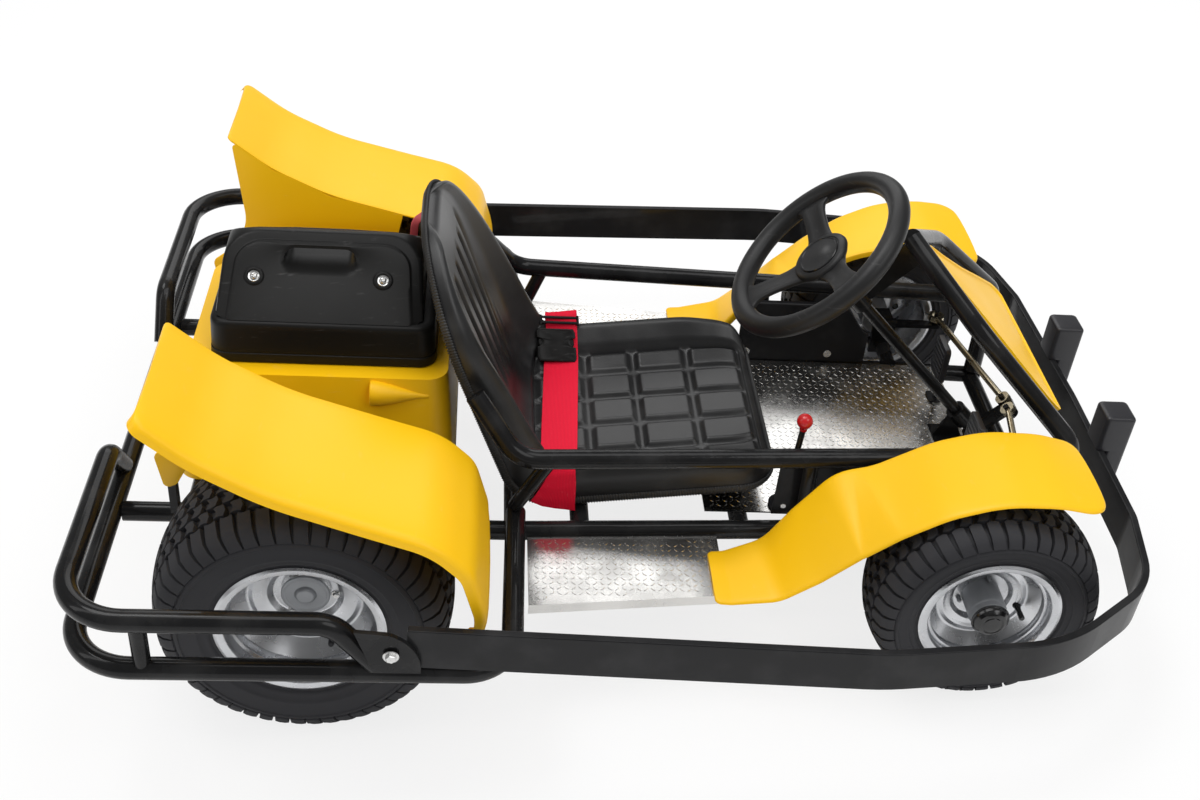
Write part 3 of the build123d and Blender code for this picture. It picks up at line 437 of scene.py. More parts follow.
class Graph:
    """Node tree of one material or of the world."""

    def __init__(self, owner: bpy.types.Material | bpy.types.World) -> None:
        """Empty the tree of a material or a world."""
        owner.use_nodes = True
        self.owner = owner
        self.tree = owner.node_tree
        self.tree.nodes.clear()

    def add(
        self,
        kind: str,
        settings: dict | None = None,
        inputs: dict | None = None,
        out: int | str = 0,
    ) -> Wire:
        """Add a node of any type.

        Args:
            kind: Node type.
            settings: Properties, set before the sockets.
            inputs: Values or wires by socket name or number.
            out: Output socket to hand back.

        Returns:
            The wire from that output.
        """
        node = self.tree.nodes.new(kind)
        for key, value in (settings or {}).items():
            setattr(node, key, value)
        for key, value in (inputs or {}).items():
            if isinstance(value, Wire):
                self.tree.links.new(value.socket, node.inputs[key])
            else:
                node.inputs[key].default_value = value
        return Wire(self, node.outputs[out])

    def maths(self, operation: str, first: Wire | float, second: Wire | float = 0.0) -> Wire:
        """Math node of two values."""
        return self.add("ShaderNodeMath", {"operation": operation}, {0: first, 1: second})

    def ramp(self, value: Wire, low: float, high: float) -> Wire:
        """Value stretched so that low becomes 0 and high becomes 1, held between them."""
        return self.add(
            "ShaderNodeMapRange",
            {"interpolation_type": "SMOOTHSTEP"},
            {"Value": value, "From Min": low, "From Max": high},
        )

    def blend(self, share: Wire | float, first: Wire | Colour, second: Wire | Colour) -> Wire:
        """Colour between two colours."""
        return self.add("ShaderNodeMix", {"data_type": "RGBA"}, {0: share, 6: first, 7: second}, out=2)

    def here(self) -> Wire:
        """Object coordinates, in metres."""
        return self.add("ShaderNodeTexCoord", out="Object")

    def noise(self, scale: float, detail: float = 3.0, stretch: tuple | None = None) -> Wire:
        """Noise over the object, with an optional stretch of its coordinates."""
        where = self.here()
        if stretch:
            where = self.add("ShaderNodeMapping", None, {"Vector": where, "Scale": stretch})
        return self.add("ShaderNodeTexNoise", None, {"Vector": where, "Scale": scale, "Detail": detail})

    def cells(self, scale: float) -> Wire:
        """Distance to the nearest of scattered points, for a pebbled grain."""
        return self.add("ShaderNodeTexVoronoi", None, {"Vector": self.here(), "Scale": scale})

    def bump(self, height: Wire, depth: float, strength: float = 1.0) -> Wire:
        """Normal of a relief whose full height is depth, in metres."""
        return self.add("ShaderNodeBump", None, {"Height": height, "Distance": depth, "Strength": strength})

    def finish(self, **sockets: Wire | float | Colour) -> bpy.types.Material:
        """End in one Principled shader.

        Args:
            **sockets: Socket values by name, with underscores for the spaces.

        Returns:
            The material.
        """
        inputs = {key.replace("_", " "): value for key, value in sockets.items()}
        self.close(self.add("ShaderNodeBsdfPrincipled", None, inputs))
        return self.owner

    def close(self, shader: Wire, kind: str = "ShaderNodeOutputMaterial") -> None:
        """Lead a shader to the tree's output."""
        out = self.tree.nodes.new(kind)
        self.tree.links.new(shader.socket, out.inputs["Surface"])


@dataclass(frozen=True)
class Finish:
    """A surface's colour, shine and fine relief."""

    name: str
    colour: Colour
    slot: str
    roughness: float = 0.4
    relief: float = 0.00005
    grain: float = 500.0
    specular: float = 0.22

    def material(self) -> bpy.types.Material:
        """The finish as a material, made once."""
        known = bpy.data.materials.get(self.name)
        return known or self.mix(Graph(bpy.data.materials.new(self.name)))

    def mix(self, graph: Graph) -> bpy.types.Material:
        """Build the nodes; each kind of finish has its own."""
        raise NotImplementedError

    def shade(self, share: float) -> Colour:
        """The finish's colour, darkened to a share of itself."""
        return (*[part * share for part in self.colour[:3]], 1.0)

    def pale(self, share: float) -> Colour:
        """The finish's colour, lightened towards white by a share."""
        return (*[part + (1 - part) * share for part in self.colour[:3]], 1.0)


@dataclass(frozen=True)
class GlossPaint(Finish):
    """Black gloss coat over steel tube: a slight ripple, faint dust, and a clear top coat."""

    dust: float = 0.012

    def mix(self, graph: Graph) -> bpy.types.Material:
        """Ripple in the normal, dust in broad clouds that also dull the shine."""
        cloud = graph.ramp(graph.noise(14, 4), 0.42, 0.75)
        ripple = graph.noise(self.grain, 2)
        return graph.finish(
            Base_Color=graph.blend(cloud, self.colour, self.pale(self.dust)),
            Roughness=self.roughness + 0.10 * cloud,
            Specular_IOR_Level=self.specular,
            Coat_Weight=0.25,
            Coat_Roughness=0.05,
            Normal=graph.bump(ripple, self.relief),
        )


@dataclass(frozen=True)
class Moulded(Finish):
    """Moulded plastic: a fine pebbled skin, slow shifts of colour, and scuffs that dull it."""

    shift: float = 0.1
    coat: float = 0.0

    def mix(self, graph: Graph) -> bpy.types.Material:
        """Pebbles from scattered points, clouds of colour, and fine stretched scuffs."""
        cloud = graph.ramp(graph.noise(5, 3), 0.3, 0.7)
        scuff = graph.ramp(graph.noise(38, 6, (1, 1, 6)), 0.62, 0.8)
        pebble = graph.cells(self.grain) + 0.5 * graph.noise(self.grain * 2, 2)
        tone = graph.blend(cloud, self.colour, self.shade(1 - self.shift))
        return graph.finish(
            Base_Color=graph.blend(scuff * 0.12, tone, self.pale(0.25)),
            Roughness=self.roughness + 0.07 * cloud + 0.12 * scuff,
            Specular_IOR_Level=self.specular,
            Coat_Weight=self.coat,
            Coat_Roughness=0.22,
            Normal=graph.bump(pebble, self.relief),
        )


@dataclass(frozen=True)
class Vinyl(Finish):
    """Seat vinyl: soft leather grain with creases, a low sheen, and paler rubbed patches."""

    def mix(self, graph: Graph) -> bpy.types.Material:
        """Two sizes of scattered cells for the grain, noise for creases and for the rubbed patches."""
        rubbed = graph.ramp(graph.noise(9, 4), 0.4, 0.72)
        grain = graph.cells(self.grain) + 0.6 * graph.cells(self.grain * 0.45) + 0.5 * graph.noise(160, 5)
        return graph.finish(
            Base_Color=graph.blend(rubbed, self.colour, self.pale(0.02)),
            Roughness=self.roughness + 0.08 * rubbed,
            Specular_IOR_Level=0.5,
            Normal=graph.bump(grain, self.relief, 0.7),
        )


@dataclass(frozen=True)
class Webbing(Finish):
    """Woven belt webbing: ribs along its run crossed by picks, painted shade in the grooves between ribs, and
    stray pale threads.
    """

    rib: float = 2.4

    def mix(self, graph: Graph) -> bpy.types.Material:
        """Weave from the piece's own flow: sine along times sine across, on ribs of the same pitch; the
        grooves between ribs get painted shade.
        """
        laid = graph.add("ShaderNodeAttribute", {"attribute_name": "flow"}, out="Vector")
        along = graph.add("ShaderNodeSeparateXYZ", {}, {0: laid}, out="X")
        across = graph.add("ShaderNodeSeparateXYZ", {}, {0: laid}, out="Y")
        turn = 2 * math.pi / self.rib
        weave = graph.maths("SINE", along * turn) * graph.maths("SINE", across * turn)
        rows = graph.maths("ABSOLUTE", graph.maths("SINE", across * (turn / 2)))
        height = 0.5 + 0.25 * weave + 0.35 * rows
        stray = graph.ramp(graph.noise(420, 2, (1, 1, 0.2)), 0.6, 0.8)
        # Painted shade: the colour darkens to 74% in the low grooves between ribs, where the relief is
        # lowest.
        groove_painted_shade = graph.blend(rows, self.shade(0.74), self.colour)
        return graph.finish(
            Base_Color=graph.blend(stray * 0.14, groove_painted_shade, self.pale(0.3)),
            Roughness=self.roughness,
            Specular_IOR_Level=self.specular,
            Normal=graph.bump(height, self.relief),
        )


@dataclass(frozen=True)
class Rubber(Finish):
    """Tyre or buffer rubber: matt, with a fine skin and grey bloom in broad patches."""

    bloom: float = 0.03

    def mix(self, graph: Graph) -> bpy.types.Material:
        """Bloom from slow noise, skin from fine noise."""
        bloom = graph.ramp(graph.noise(11, 5), 0.38, 0.72)
        skin = graph.noise(self.grain, 4)
        return graph.finish(
            Base_Color=graph.blend(bloom, self.colour, self.pale(self.bloom)),
            Roughness=self.roughness + 0.12 * bloom,
            Specular_IOR_Level=self.specular,
            Normal=graph.bump(skin, self.relief),
        )


@dataclass(frozen=True)
class Metal(Finish):
    """Bare or silvered metal: streaks drawn along one way, smears in the shine, dull spots."""

    draw: tuple[float, float, float] = (1.0, 1.0, 1.0)
    metallic: float = 1.0

    def mix(self, graph: Graph) -> bpy.types.Material:
        """Stretched noise for streaks, slow noise for smears, fine noise for dull spots."""
        streak = graph.noise(self.grain, 5, self.draw)
        smear = graph.ramp(graph.noise(18, 4), 0.35, 0.75)
        spot = graph.ramp(graph.noise(230, 3), 0.62, 0.8)
        return graph.finish(
            Base_Color=graph.blend(smear * 0.5 + 0.3 * spot, self.colour, self.shade(0.8)),
            Metallic=self.metallic,
            Roughness=self.roughness + 0.10 * smear + 0.12 * spot,
            Normal=graph.bump(streak, self.relief),
        )


BLACK_PAINT = GlossPaint(
    "black_gloss_paint", (0.0085, 0.0085, 0.009, 1), "frame_black", 0.24, 0.00006, 160, 0.1
)
BAND_PAINT = GlossPaint("side_band_satin", (0.010, 0.010, 0.011, 1), "frame_black", 0.36, 0.00004, 220, 0.1)
YELLOW = Moulded(
    "yellow_guard_plastic", screen_colour(252, 196, 12), "yellow_plastic", 0.38, 0.00002, 900, 0.3, 0.03
)
TREAD_PLATE = Metal(
    "tread_plate_aluminium", (0.72, 0.71, 0.69, 1), "tread_plate", 0.20, 0.00004, 300, 0.5, (1, 8, 1)
)
VINYL = Vinyl("black_seat_vinyl", (0.011, 0.011, 0.0115, 1), "seat_vinyl", 0.36, 0.0001, 620)
PIPING = Vinyl("seat_edge_piping", (0.014, 0.014, 0.014, 1), "seat_vinyl", 0.48, 0.00008, 900)
WEBBING = Webbing("red_belt_webbing", screen_colour(238, 14, 54), "webbing", 0.7, 0.0003)
CASE_PLASTIC = Moulded(
    "black_case_plastic", (0.0095, 0.0094, 0.0092, 1), "black_plastic", 0.34, 0.00004, 800, 0.16, 0.15
)
GRIP = Moulded("soft_grip_black", (0.012, 0.012, 0.0125, 1), "black_plastic", 0.40, 0.00004, 1000, 0.35, 0.1)
CAP_BLACK = Moulded(
    "hub_cap_black", (0.008, 0.008, 0.0085, 1), "black_plastic", 0.12, 0.00001, 600, 0.3, 0.05, 0.6
)
TYRE = Rubber("tyre_rubber", (0.0125, 0.0122, 0.0119, 1), "tyre_rubber", 0.56, 0.00009, 800, 0.25, 0.02)
BUFFER = Rubber("buffer_rubber", (0.013, 0.013, 0.014, 1), "buffer_rubber", 0.5, 0.00012, 600, 0.2, 0.02)
SILVER = Metal("silvered_rim_steel", (0.62, 0.63, 0.65, 1), "rim_silver", 0.24, 0.00002, 500)
HUB_GREY = Metal(
    "grey_hub_paint", (0.30, 0.31, 0.325, 1), "bright_steel", 0.42, 0.00002, 400, 0.5, (1, 1, 1), 0.55
)
ZINC = Metal("zinc_plated_steel", (0.71, 0.71, 0.70, 1), "bright_steel", 0.22, 0.00002, 900)
BRASS = Metal("yellow_passivated_steel", (0.60, 0.53, 0.38, 1), "bright_steel", 0.26, 0.00002, 900)
CAST = Metal(
    "cast_drive_alloy", (0.36, 0.36, 0.37, 1), "drive_alloy", 0.46, 0.00012, 260, 0.5, (1, 1, 1), 0.85
)
RED_KNOB = Moulded(
    "red_lever_knob", screen_colour(190, 24, 28), "red_knob", 0.2, 0.00001, 500, 0.4, 0.05, 0.4
)
STRAP_RED = Moulded("faded_red_strap", screen_colour(205, 84, 88), "webbing", 0.5, 0.00006, 700, 0.3, 0.12)


def dress(piece: bpy.types.Object, finish: Finish, body: str, nodes: tuple = ()) -> bpy.types.Object:
    """Give a new piece its material, its body and the nodes it stands for.

    Args:
        piece: The object.
        finish: Its surface.
        body: The body it rides on.
        nodes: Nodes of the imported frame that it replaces.

    Returns:
        The object.
    """
    piece.data.materials.append(finish.material())
    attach(piece, body)
    if nodes:
        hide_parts(*nodes)
    LOG.info("piece %s on %s: %d faces", piece.name, body, len(piece.data.polygons))
    return piece


def repaint(finish: Finish, *nodes: str) -> None:
    """Give carried-over nodes a procedural material in all their slots."""
    for node in nodes:
        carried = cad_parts[node]
        for slot in carried.material_slots:
            slot.material = finish.material()
        LOG.info("node %s keeps its shape in %s", node, finish.name)


@dataclass(frozen=True)
class Axes:
    """Local axes for a flat piece: across, up and out of its face."""

    origin: tuple[float, float, float]
    across: tuple[float, float, float]
    up: tuple[float, float, float]

    def at(self, across: Points | float, up: Points | float, out: Points | float) -> Points:
        """Chassis points from local ones: the origin plus each local length along its own axis."""
        way, rise = unit(np.array(self.across, float)), unit(np.array(self.up, float))
        a, u, o = np.broadcast_arrays(*(np.asarray(part, float)[..., None] for part in (across, up, out)))
        return np.array(self.origin) + a * way + u * rise + o * np.cross(way, rise)

    def turn(
        self, profile: Points, count: int = 32, spot: tuple = (0.0, 0.0), round_by: float = 0.0
    ) -> Points:
        """Profile (out, radius) turned about the outward axis at a spot of the face."""
        angle = np.linspace(0, 2 * np.pi, count, endpoint=False)[:, None] + round_by
        out, radius = np.asarray(profile, float).T
        return self.at(spot[0] + radius * np.cos(angle), spot[1] + radius * np.sin(angle), out + 0 * angle)


def outer_face(x: float, y: float, z: float) -> Axes:
    """Axes of an upright face on the left that looks away from the kart's centreline."""
    return Axes((x, y, z), (1, 0, 0), (0, 0, -1))


def screw_head(axes: Axes, radius: float, height: float) -> Shell:
    """Hex bolt head with a washer: a chamfered prism over a thin disc.

    Args:
        axes: Face that it sits on.
        radius: Radius over the head's corners.
        height: Height over the face.

    Returns:
        The shell of both parts.
    """
    shell = Shell()
    washer = [(-0.5, 0.3), (-0.5, radius * 1.38), (0.8, radius * 1.45), (1.6, radius * 1.34), (1.6, 0.3)]
    shell.grid(axes.turn(washer), round_u=True)
    head = [(1.0, 0.3), (1.0, radius), (height * 0.82, radius), (height, radius * 0.86), (height, 0.3)]
    shell.grid(axes.turn(head, 6, round_by=0.3), round_u=True)
    return shell


@dataclass(frozen=True)
class Wheel:
    """One wheel: turf tyre, pressed rim and valve, with a hub and a cap in front."""

    side: Side
    axle_x: float
    axle_z: float
    middle: float
    radius: float
    width: float
    rim: float
    rim_width: float
    shoulder: tuple[float, float]
    dish: tuple
    inset: float
    rows: tuple
    pitches: int
    groove: float
    lug_foot: float
    name: str
    body: str

    steps = (-0.16, -0.12, 0.12, 0.16, 0.22, 0.28, 0.34, 0.38, 0.62, 0.66, 0.72, 0.78)

    @property
    def centre(self) -> tuple[float, float, float]:
        """Point of the axle line under the tyre's middle, on the left."""
        return (self.axle_x, self.middle, self.axle_z)

    def carcass(self) -> tuple[Points, Points]:
        """Outline of the tyre from the crown's middle to the bead.

        The crown is one arc from shoulder to shoulder and the sidewall one arc from shoulder to bead.

        Returns:
            Points (from the middle, radius) and the distance travelled at each.
        """
        bead, seat = self.rim_width / 2 - 3.2, self.rim + 16.2
        edge, edge_r = self.width / 2 - self.shoulder[0], self.radius - self.shoulder[1]
        crown = arc_of_three((-edge, edge_r), (0, self.radius), (edge, edge_r), 161)[80:]
        wall = arc_of_three((edge, edge_r), (self.width / 2, (seat + edge_r) / 2), (bead, seat), 80)
        line = np.concatenate((crown, wall[1:]))
        return line, np.concatenate(([0], np.cumsum(np.linalg.norm(np.diff(line, axis=0), axis=1))))

    def tyre(self) -> Shell:
        """Tyre as a height field wrapped round the axle.

        Across, the columns are laid row by row, with a pair at each groove's wall. Round the axle each pitch
        has twelve steps, with a pair at each wall of a cross groove, and every second row is half a pitch on.
        Height is the groove's floor in a cross groove and the column's own elsewhere. A sine of the pitch
        widens the groove in the middle of a row, which waists the block, and a shift along the row bends it
        to a chevron. Below the lugs come a raised ring, a hollow wall and a rib by the rim.

        Returns:
            The closed shell, on the left.
        """
        line, travel = self.carcass()
        end = float(np.interp(-self.lug_foot, -line[:, 1], travel))
        bounds = [*self.rows, end]
        deep = self.groove
        columns = []
        edges = [(-bounds[0], bounds[0]), *zip(bounds, bounds[1:])]
        for number, (start, stop) in enumerate(edges):
            wide = stop - start
            last = number == len(edges) - 1
            inner = (1.2, 2.2, wide * 0.28, wide * 0.5, wide * 0.72)
            for away in inner + (() if last else (wide - 2.2, wide - 1.2)):
                t = away / wide
                waist = -0.10 * t if last else 0.085 * (1 - (2 * t - 1) ** 2)
                bend = 0.20 * (1 - t) if last else 0.20 * abs(2 * t - 1)
                lifted = 0.0 if away < 1.5 or away > wide - 1.5 else 1.0
                floor = -deep * (1 - 0.45 * t) if last else -deep
                columns.append(
                    (start + away, floor, floor - floor * lifted, number % 2, waist, bend, 1.6)
                )
            if last:
                columns.append((stop - 5, -deep * 0.5, 0.0, number % 2, -0.12, 0.0, 0))
                columns.append((stop - 3.5, -2.4, -2.4, number % 2, 0.0, 0.0, 0))
        room = travel[-1] - end
        ring = ((0.0, -0.4), (0.03, 0.0), (0.07, -0.2), (0.10, -2.4), (0.3, -3.0), (0.52, -3.0), (0.56, -2.0))
        rib = (
            (0.60, -2.0), (0.64, -3.0), (0.80, -2.2), (0.84, -0.8),
            (0.90, -0.8), (0.95, -1.6), (1.0, -0.4),
        )
        columns += [(end + share * room, high, high, 0, 0.0, 0.0, 0) for share, high in ring + rib]
        half = np.array(columns)
        half = half[np.argsort(half[:, 0], kind="stable")]
        own = half[half[:, 0] > -1e-6]
        table = np.concatenate((own[:0:-1] * (-1, 1, 1, 1, 1, 1, 1), own))
        place, floor, top, odd, waist, bend, zig = table.T
        pitch = np.tile(np.array(self.steps), self.pitches)[:, None]
        number = np.repeat(np.arange(self.pitches), len(self.steps))[:, None]
        off = pitch - 0.5 * odd
        cut = np.abs(off - np.round(off)) < 0.13
        height = np.where(cut, floor, top)
        sideways = place + zig * np.cos(2 * np.pi * pitch)
        along = np.abs(sideways)
        across = np.interp(along, travel, line[:, 0])
        radius = np.interp(along, travel, line[:, 1])
        ways = unit(np.gradient(line, travel, axis=0))
        slope_y = np.interp(along, travel, -ways[:, 1])
        slope_r = np.interp(along, travel, ways[:, 0])
        across = (across + height * slope_y) * np.sign(sideways + 1e-9)
        radius = radius + height * slope_r
        turn = (number + pitch + waist * np.sin(2 * np.pi * off) + bend) * 2 * np.pi / self.pitches
        bead, seat = self.rim_width / 2 - 3.2, self.rim + 0.3
        rim_y = np.array([-bead, bead]) + 0 * turn[:, :1]
        across = np.concatenate((rim_y[:, :1], across, rim_y[:, 1:]), axis=1)
        radius = np.concatenate((seat + 0 * turn[:, :1], radius, seat + 0 * turn[:, :1]), axis=1)
        turn = np.concatenate((turn[:, :1], turn, turn[:, -1:]), axis=1)
        grid = np.stack((radius * np.cos(turn), across, radius * np.sin(turn)), axis=-1) + self.centre
        return Shell().grid(grid[:, ::-1], round_u=True)

    def rim_section(self) -> tuple[Points, Points]:
        """Lines of the barrel and of the dish, as (from the middle, radius), bends rounded."""
        half, radius = self.rim_width / 2, self.rim
        face = half - self.inset
        lip = [
            (half - 1.5, radius + 14), (half + 0.6, radius + 9),
            (half - 2, radius - 1), (half - 9, radius - 3.4),
        ]
        step = [
            (half - 24, radius - 3.4), (half - 29, radius - 7),
            (face + 42, radius - 7), (face + 37, radius - 4),
        ]
        back = [
            (9 - half, radius - 3.4), (2 - half, radius - 1),
            (-half - 0.6, radius + 9), (1.5 - half, radius + 14),
        ]
        barrel = bent([*lip, *step, *back], (2, 3, 3, 3, 3, 3, 3, 3, 3, 2), 4)
        out = [(face + dy, r) for dy, r in self.dish]
        ridge = [(out[1][0] + 2.5, out[1][1] + 8), (out[2][0] + 2, out[2][1] - 9)]
        end = (out[3][0] + 3, radius - 3.4)
        dish = bent([(face, 16), out[0], out[1], *ridge, out[2], out[3], end], (4, 4, 3, 3, 6, 3), 5)
        return barrel, dish

    def rim_shell(self) -> Shell:
        """Barrel with rolled flanges and a stepped dish, each a bent sheet turned about the axle."""
        barrel, dish = self.rim_section()
        shell = Shell().grid(turned(sheet_loop(barrel, -3.0), self.centre, 120), round_u=True)
        return shell.grid(turned(sheet_loop(dish, 4.0), self.centre, 120), round_u=True)

    def valve(self, angle: float, reach: float) -> Shell:
        """Rubber valve stem with its cap: a stepped profile turned about its own axis, on the dish.

        Args:
            angle: Where it stands round the axle, in radians.
            reach: Distance from the axle.

        Returns:
            The closed shell, on the left.
        """
        face = self.middle + self.rim_width / 2 - self.inset + self.dish[2][0]
        spot = (reach * math.cos(angle), reach * math.sin(angle))
        foot = outer_face(self.axle_x + spot[0], face, self.axle_z + spot[1])
        line = [(-6, 0.4), (-6, 6.5), (1, 6.5), (4, 5), (16, 4), (17, 4.6), (29, 4.6), (31, 3.4), (31, 0.4)]
        return Shell().grid(foot.turn(bent(line, 0.8, 3), 24), round_u=True)

    def build(self) -> None:
        """Make and dress the tyre and the rim."""
        tyre = self.tyre().sided(self.side).build(f"{self.name}_tyre_{self.side.word}_turf", 38, merge=False)
        dress(tyre, TYRE, self.body, (f"{self.name}_tyre_{self.side.word}",))
        rim = self.rim_shell().sided(self.side).build(f"{self.name}_rim_{self.side.word}_steel")
        dress(rim, SILVER, self.body, (f"{self.name}_rim_{self.side.word}",))


@dataclass(frozen=True)
class RearWheel(Wheel):
    """Rear wheel, bolted to the axle's hub disc."""

    def build(self) -> None:
        """Add the rim's bolts, its valve and the disc's raised boss."""
        super().build()
        face = self.middle + self.rim_width / 2 - self.inset
        bolts = Shell()
        for angle in (-8, -118, 115):
            spot = (46 * math.cos(math.radians(angle)), 46 * math.sin(math.radians(angle)))
            seat = outer_face(self.axle_x + spot[0], face, self.axle_z + spot[1])
            bolts.join(screw_head(seat, 5.2, 6))
        dress(bolts.sided(self.side).build(f"rear_rim_{self.side.word}_bolts"), ZINC, self.body)
        stem = self.valve(math.radians(-62), 84)
        dress(stem.sided(self.side).build(f"rear_valve_{self.side.word}"), TYRE, self.body)
        disc = outer_face(self.axle_x, face + 8, self.axle_z)
        boss = [
            (-2, 0.4), (-2, 37.6), (1.2, 37.4), (2.0, 36.2), (2.0, 33), (1.2, 31.5), (1.2, 17),
            (4.5, 15.5), (7, 13), (7.6, 11), (7.6, 0.4),
        ]
        plate = Shell().grid(disc.turn(bent(boss, 0.7, 3), 64), round_u=True)
        dress(plate.sided(self.side).build(f"rear_hub_face_{self.side.word}"), HUB_GREY, self.body)


@dataclass(frozen=True)
class FrontWheel(Wheel):
    """Front wheel, turning on its stub with a long hub and a domed cap."""

    def build(self) -> None:
        """Add the hub, the cap and the valve."""
        super().build()
        face = self.middle + self.rim_width / 2 - self.inset
        start, stop = 352 - face, 55.0
        hub = [
            (start, 10.2), (start, 27), (start + 3, 30), (stop - 12, 30), (stop - 9, 28.6),
            (stop, 28.6), (stop, 10.2),
        ]
        line = bent(hub, (2, 2, 2, 1.5, 1.5), 4)
        grid = turned(line, (self.axle_x, face, self.axle_z), 72)
        barrel = Shell().grid(grid, round_u=True)
        for angle in np.radians((40, 160, 280)):
            seat = outer_face(self.axle_x, face + 14, self.axle_z)
            spot = (34.5 * math.cos(angle), 34.5 * math.sin(angle))
            rib = [(-16, 0.3), (-16, 3.6), (-8, 3.6), (-6, 2.6), (-6, 0.3)]
            barrel.grid(seat.turn(rib, 16, spot), round_u=True)
        dress(barrel.sided(self.side).build(f"front_hub_{self.side.word}"), HUB_GREY, self.body)
        dome = [
            (0, 0.4), (0, 28.5), (2, 30), (5, 30), (6, 28.6), (10, 27), (14.5, 22.5), (16.6, 17.5),
            (15.4, 16.6), (15.4, 15.2), (16.8, 14), (17.2, 8), (17.2, 0.4),
        ]
        cap_line = bent(dome, 1.2, 4)
        cap = Shell().grid(turned(cap_line, (self.axle_x, face + 55.3, self.axle_z), 72), round_u=True)
        nodes = (f"hub_cap_{self.side.word}",)
        dress(cap.sided(self.side).build(f"hub_cap_{self.side.word}_domed"), CAP_BLACK, self.body, nodes)
        stem = self.valve(math.radians(-14), 62)
        dress(stem.sided(self.side).build(f"front_valve_{self.side.word}"), CAP_BLACK, self.body)


def rear_wheel(side: Side) -> RearWheel:
    """Rear wheel of a side, with the sizes of its node."""
    dish = ((0, 50), (9, 58), (13, 88), (38, 111))
    return RearWheel(
        side, 0, 0, 401.5, 228, 215, 115, 190, (14, 18), dish, 87, (13, 37, 61), 50, 9.0, 182,
        "rear", "rear_axle",
    )


def front_wheel(side: Side) -> FrontWheel:
    """Front wheel of a side, with the sizes of its node."""
    dish = ((0, 44), (8, 50), (11, 72), (32, 94))
    body = f"front_wheel_{side.word}"
    return FrontWheel(
        side, WHEELBASE, FRONT_AXLE_RISE, 416, 183, 148, 98, 134, (11, 14), dish, 58, (11, 36), 42, 8.0, 147,
        "front", body,
    )


def rounded_ends(inner: Points, outer: Points, radii: tuple, stations: int) -> tuple[Points, Points]:
    """Edges of a strip, cut into matched stations, with its four corners rounded.

    Both edges share one measure, the distance along the strip's middle. Near an end each edge moves inwards
    by r - sqrt(r^2 - (r - d)^2), with d the distance left and r that corner's radius.

    Args:
        inner: Line of the inner edge, point for point with the outer one.
        outer: Line of the outer edge.
        radii: Corner radii at the start's inner and outer edge and the end's.
        stations: Number of stations.

    Returns:
        The two edges.
    """
    middle = (inner + outer) / 2
    travel = np.concatenate(([0], np.cumsum(np.linalg.norm(np.diff(middle, axis=0), axis=1))))
    share = np.linspace(-1, 1, stations)
    at = travel[-1] * (0.5 + 0.5 * np.sign(share) * (1 - (1 - np.abs(share)) ** 1.6))
    inside, outside = (
        np.stack([np.interp(at, travel, part) for part in edge.T], axis=-1) for edge in (inner, outer)
    )
    way = unit(outside - inside)
    moved = []
    for start, end in ((radii[0], radii[2]), (radii[1], radii[3])):
        pull = np.zeros(stations)
        for left, radius in ((at, start), (travel[-1] - at, end)):
            short = np.clip(radius - left, 0, radius)
            pull += radius - np.sqrt(np.maximum(radius**2 - short**2, 0))
        moved.append(pull[:, None])
    return inside + way * moved[0], outside - way * moved[1]


def strip_shell(inner: Points, outer: Points, loop: list) -> Shell:
    """Moulded strip between two edges, with the same cross-section all along.

    Each point of the loop is (share, extra, rise): that share of the way from the inner to the outer edge,
    plus extra mm, and rise mm along the strip's own normal.

    Args:
        inner: Inner edge.
        outer: Outer edge.
        loop: The closed cross-section.

    Returns:
        The closed shell.
    """
    share, extra, rise = np.array(loop, float).T
    gap = outer - inner
    reach = np.linalg.norm(gap, axis=1)[:, None]
    across = gap / reach
    way = unit(np.gradient((inner + outer) / 2, axis=0))
    normal = unit(np.cross(way, across))
    normal = normal * np.sign(normal[len(normal) // 2, 2])
    along = share * reach + extra * np.minimum(1, reach / 60)
    return Shell().grid(inner[:, None] + across[:, None] * along[..., None] + normal[:, None] * rise[:, None])


def cut_plate(outline: Points, thickness: float, edge: float) -> tuple[Points, Points]:
    """Rings of a flat plate with softened edges.

    Each ring is the outline moved inwards along its own normals by the edge's share.

    Args:
        outline: Closed outline of two columns, anticlockwise.
        thickness: Plate thickness.
        edge: Radius of the softened edge.

    Returns:
        Rings of outline points and the height of each ring.
    """
    ways = unit(np.roll(outline, -1, axis=0) - np.roll(outline, 1, axis=0))
    inward = np.stack((-ways[:, 1], ways[:, 0]), axis=-1)
    pull = np.array([edge, edge * 0.3, 0, 0, edge * 0.3, edge])[:, None, None]
    height = np.array([0, edge * 0.3, edge, thickness - edge, thickness - edge * 0.3, thickness])
    return outline + inward * pull, height


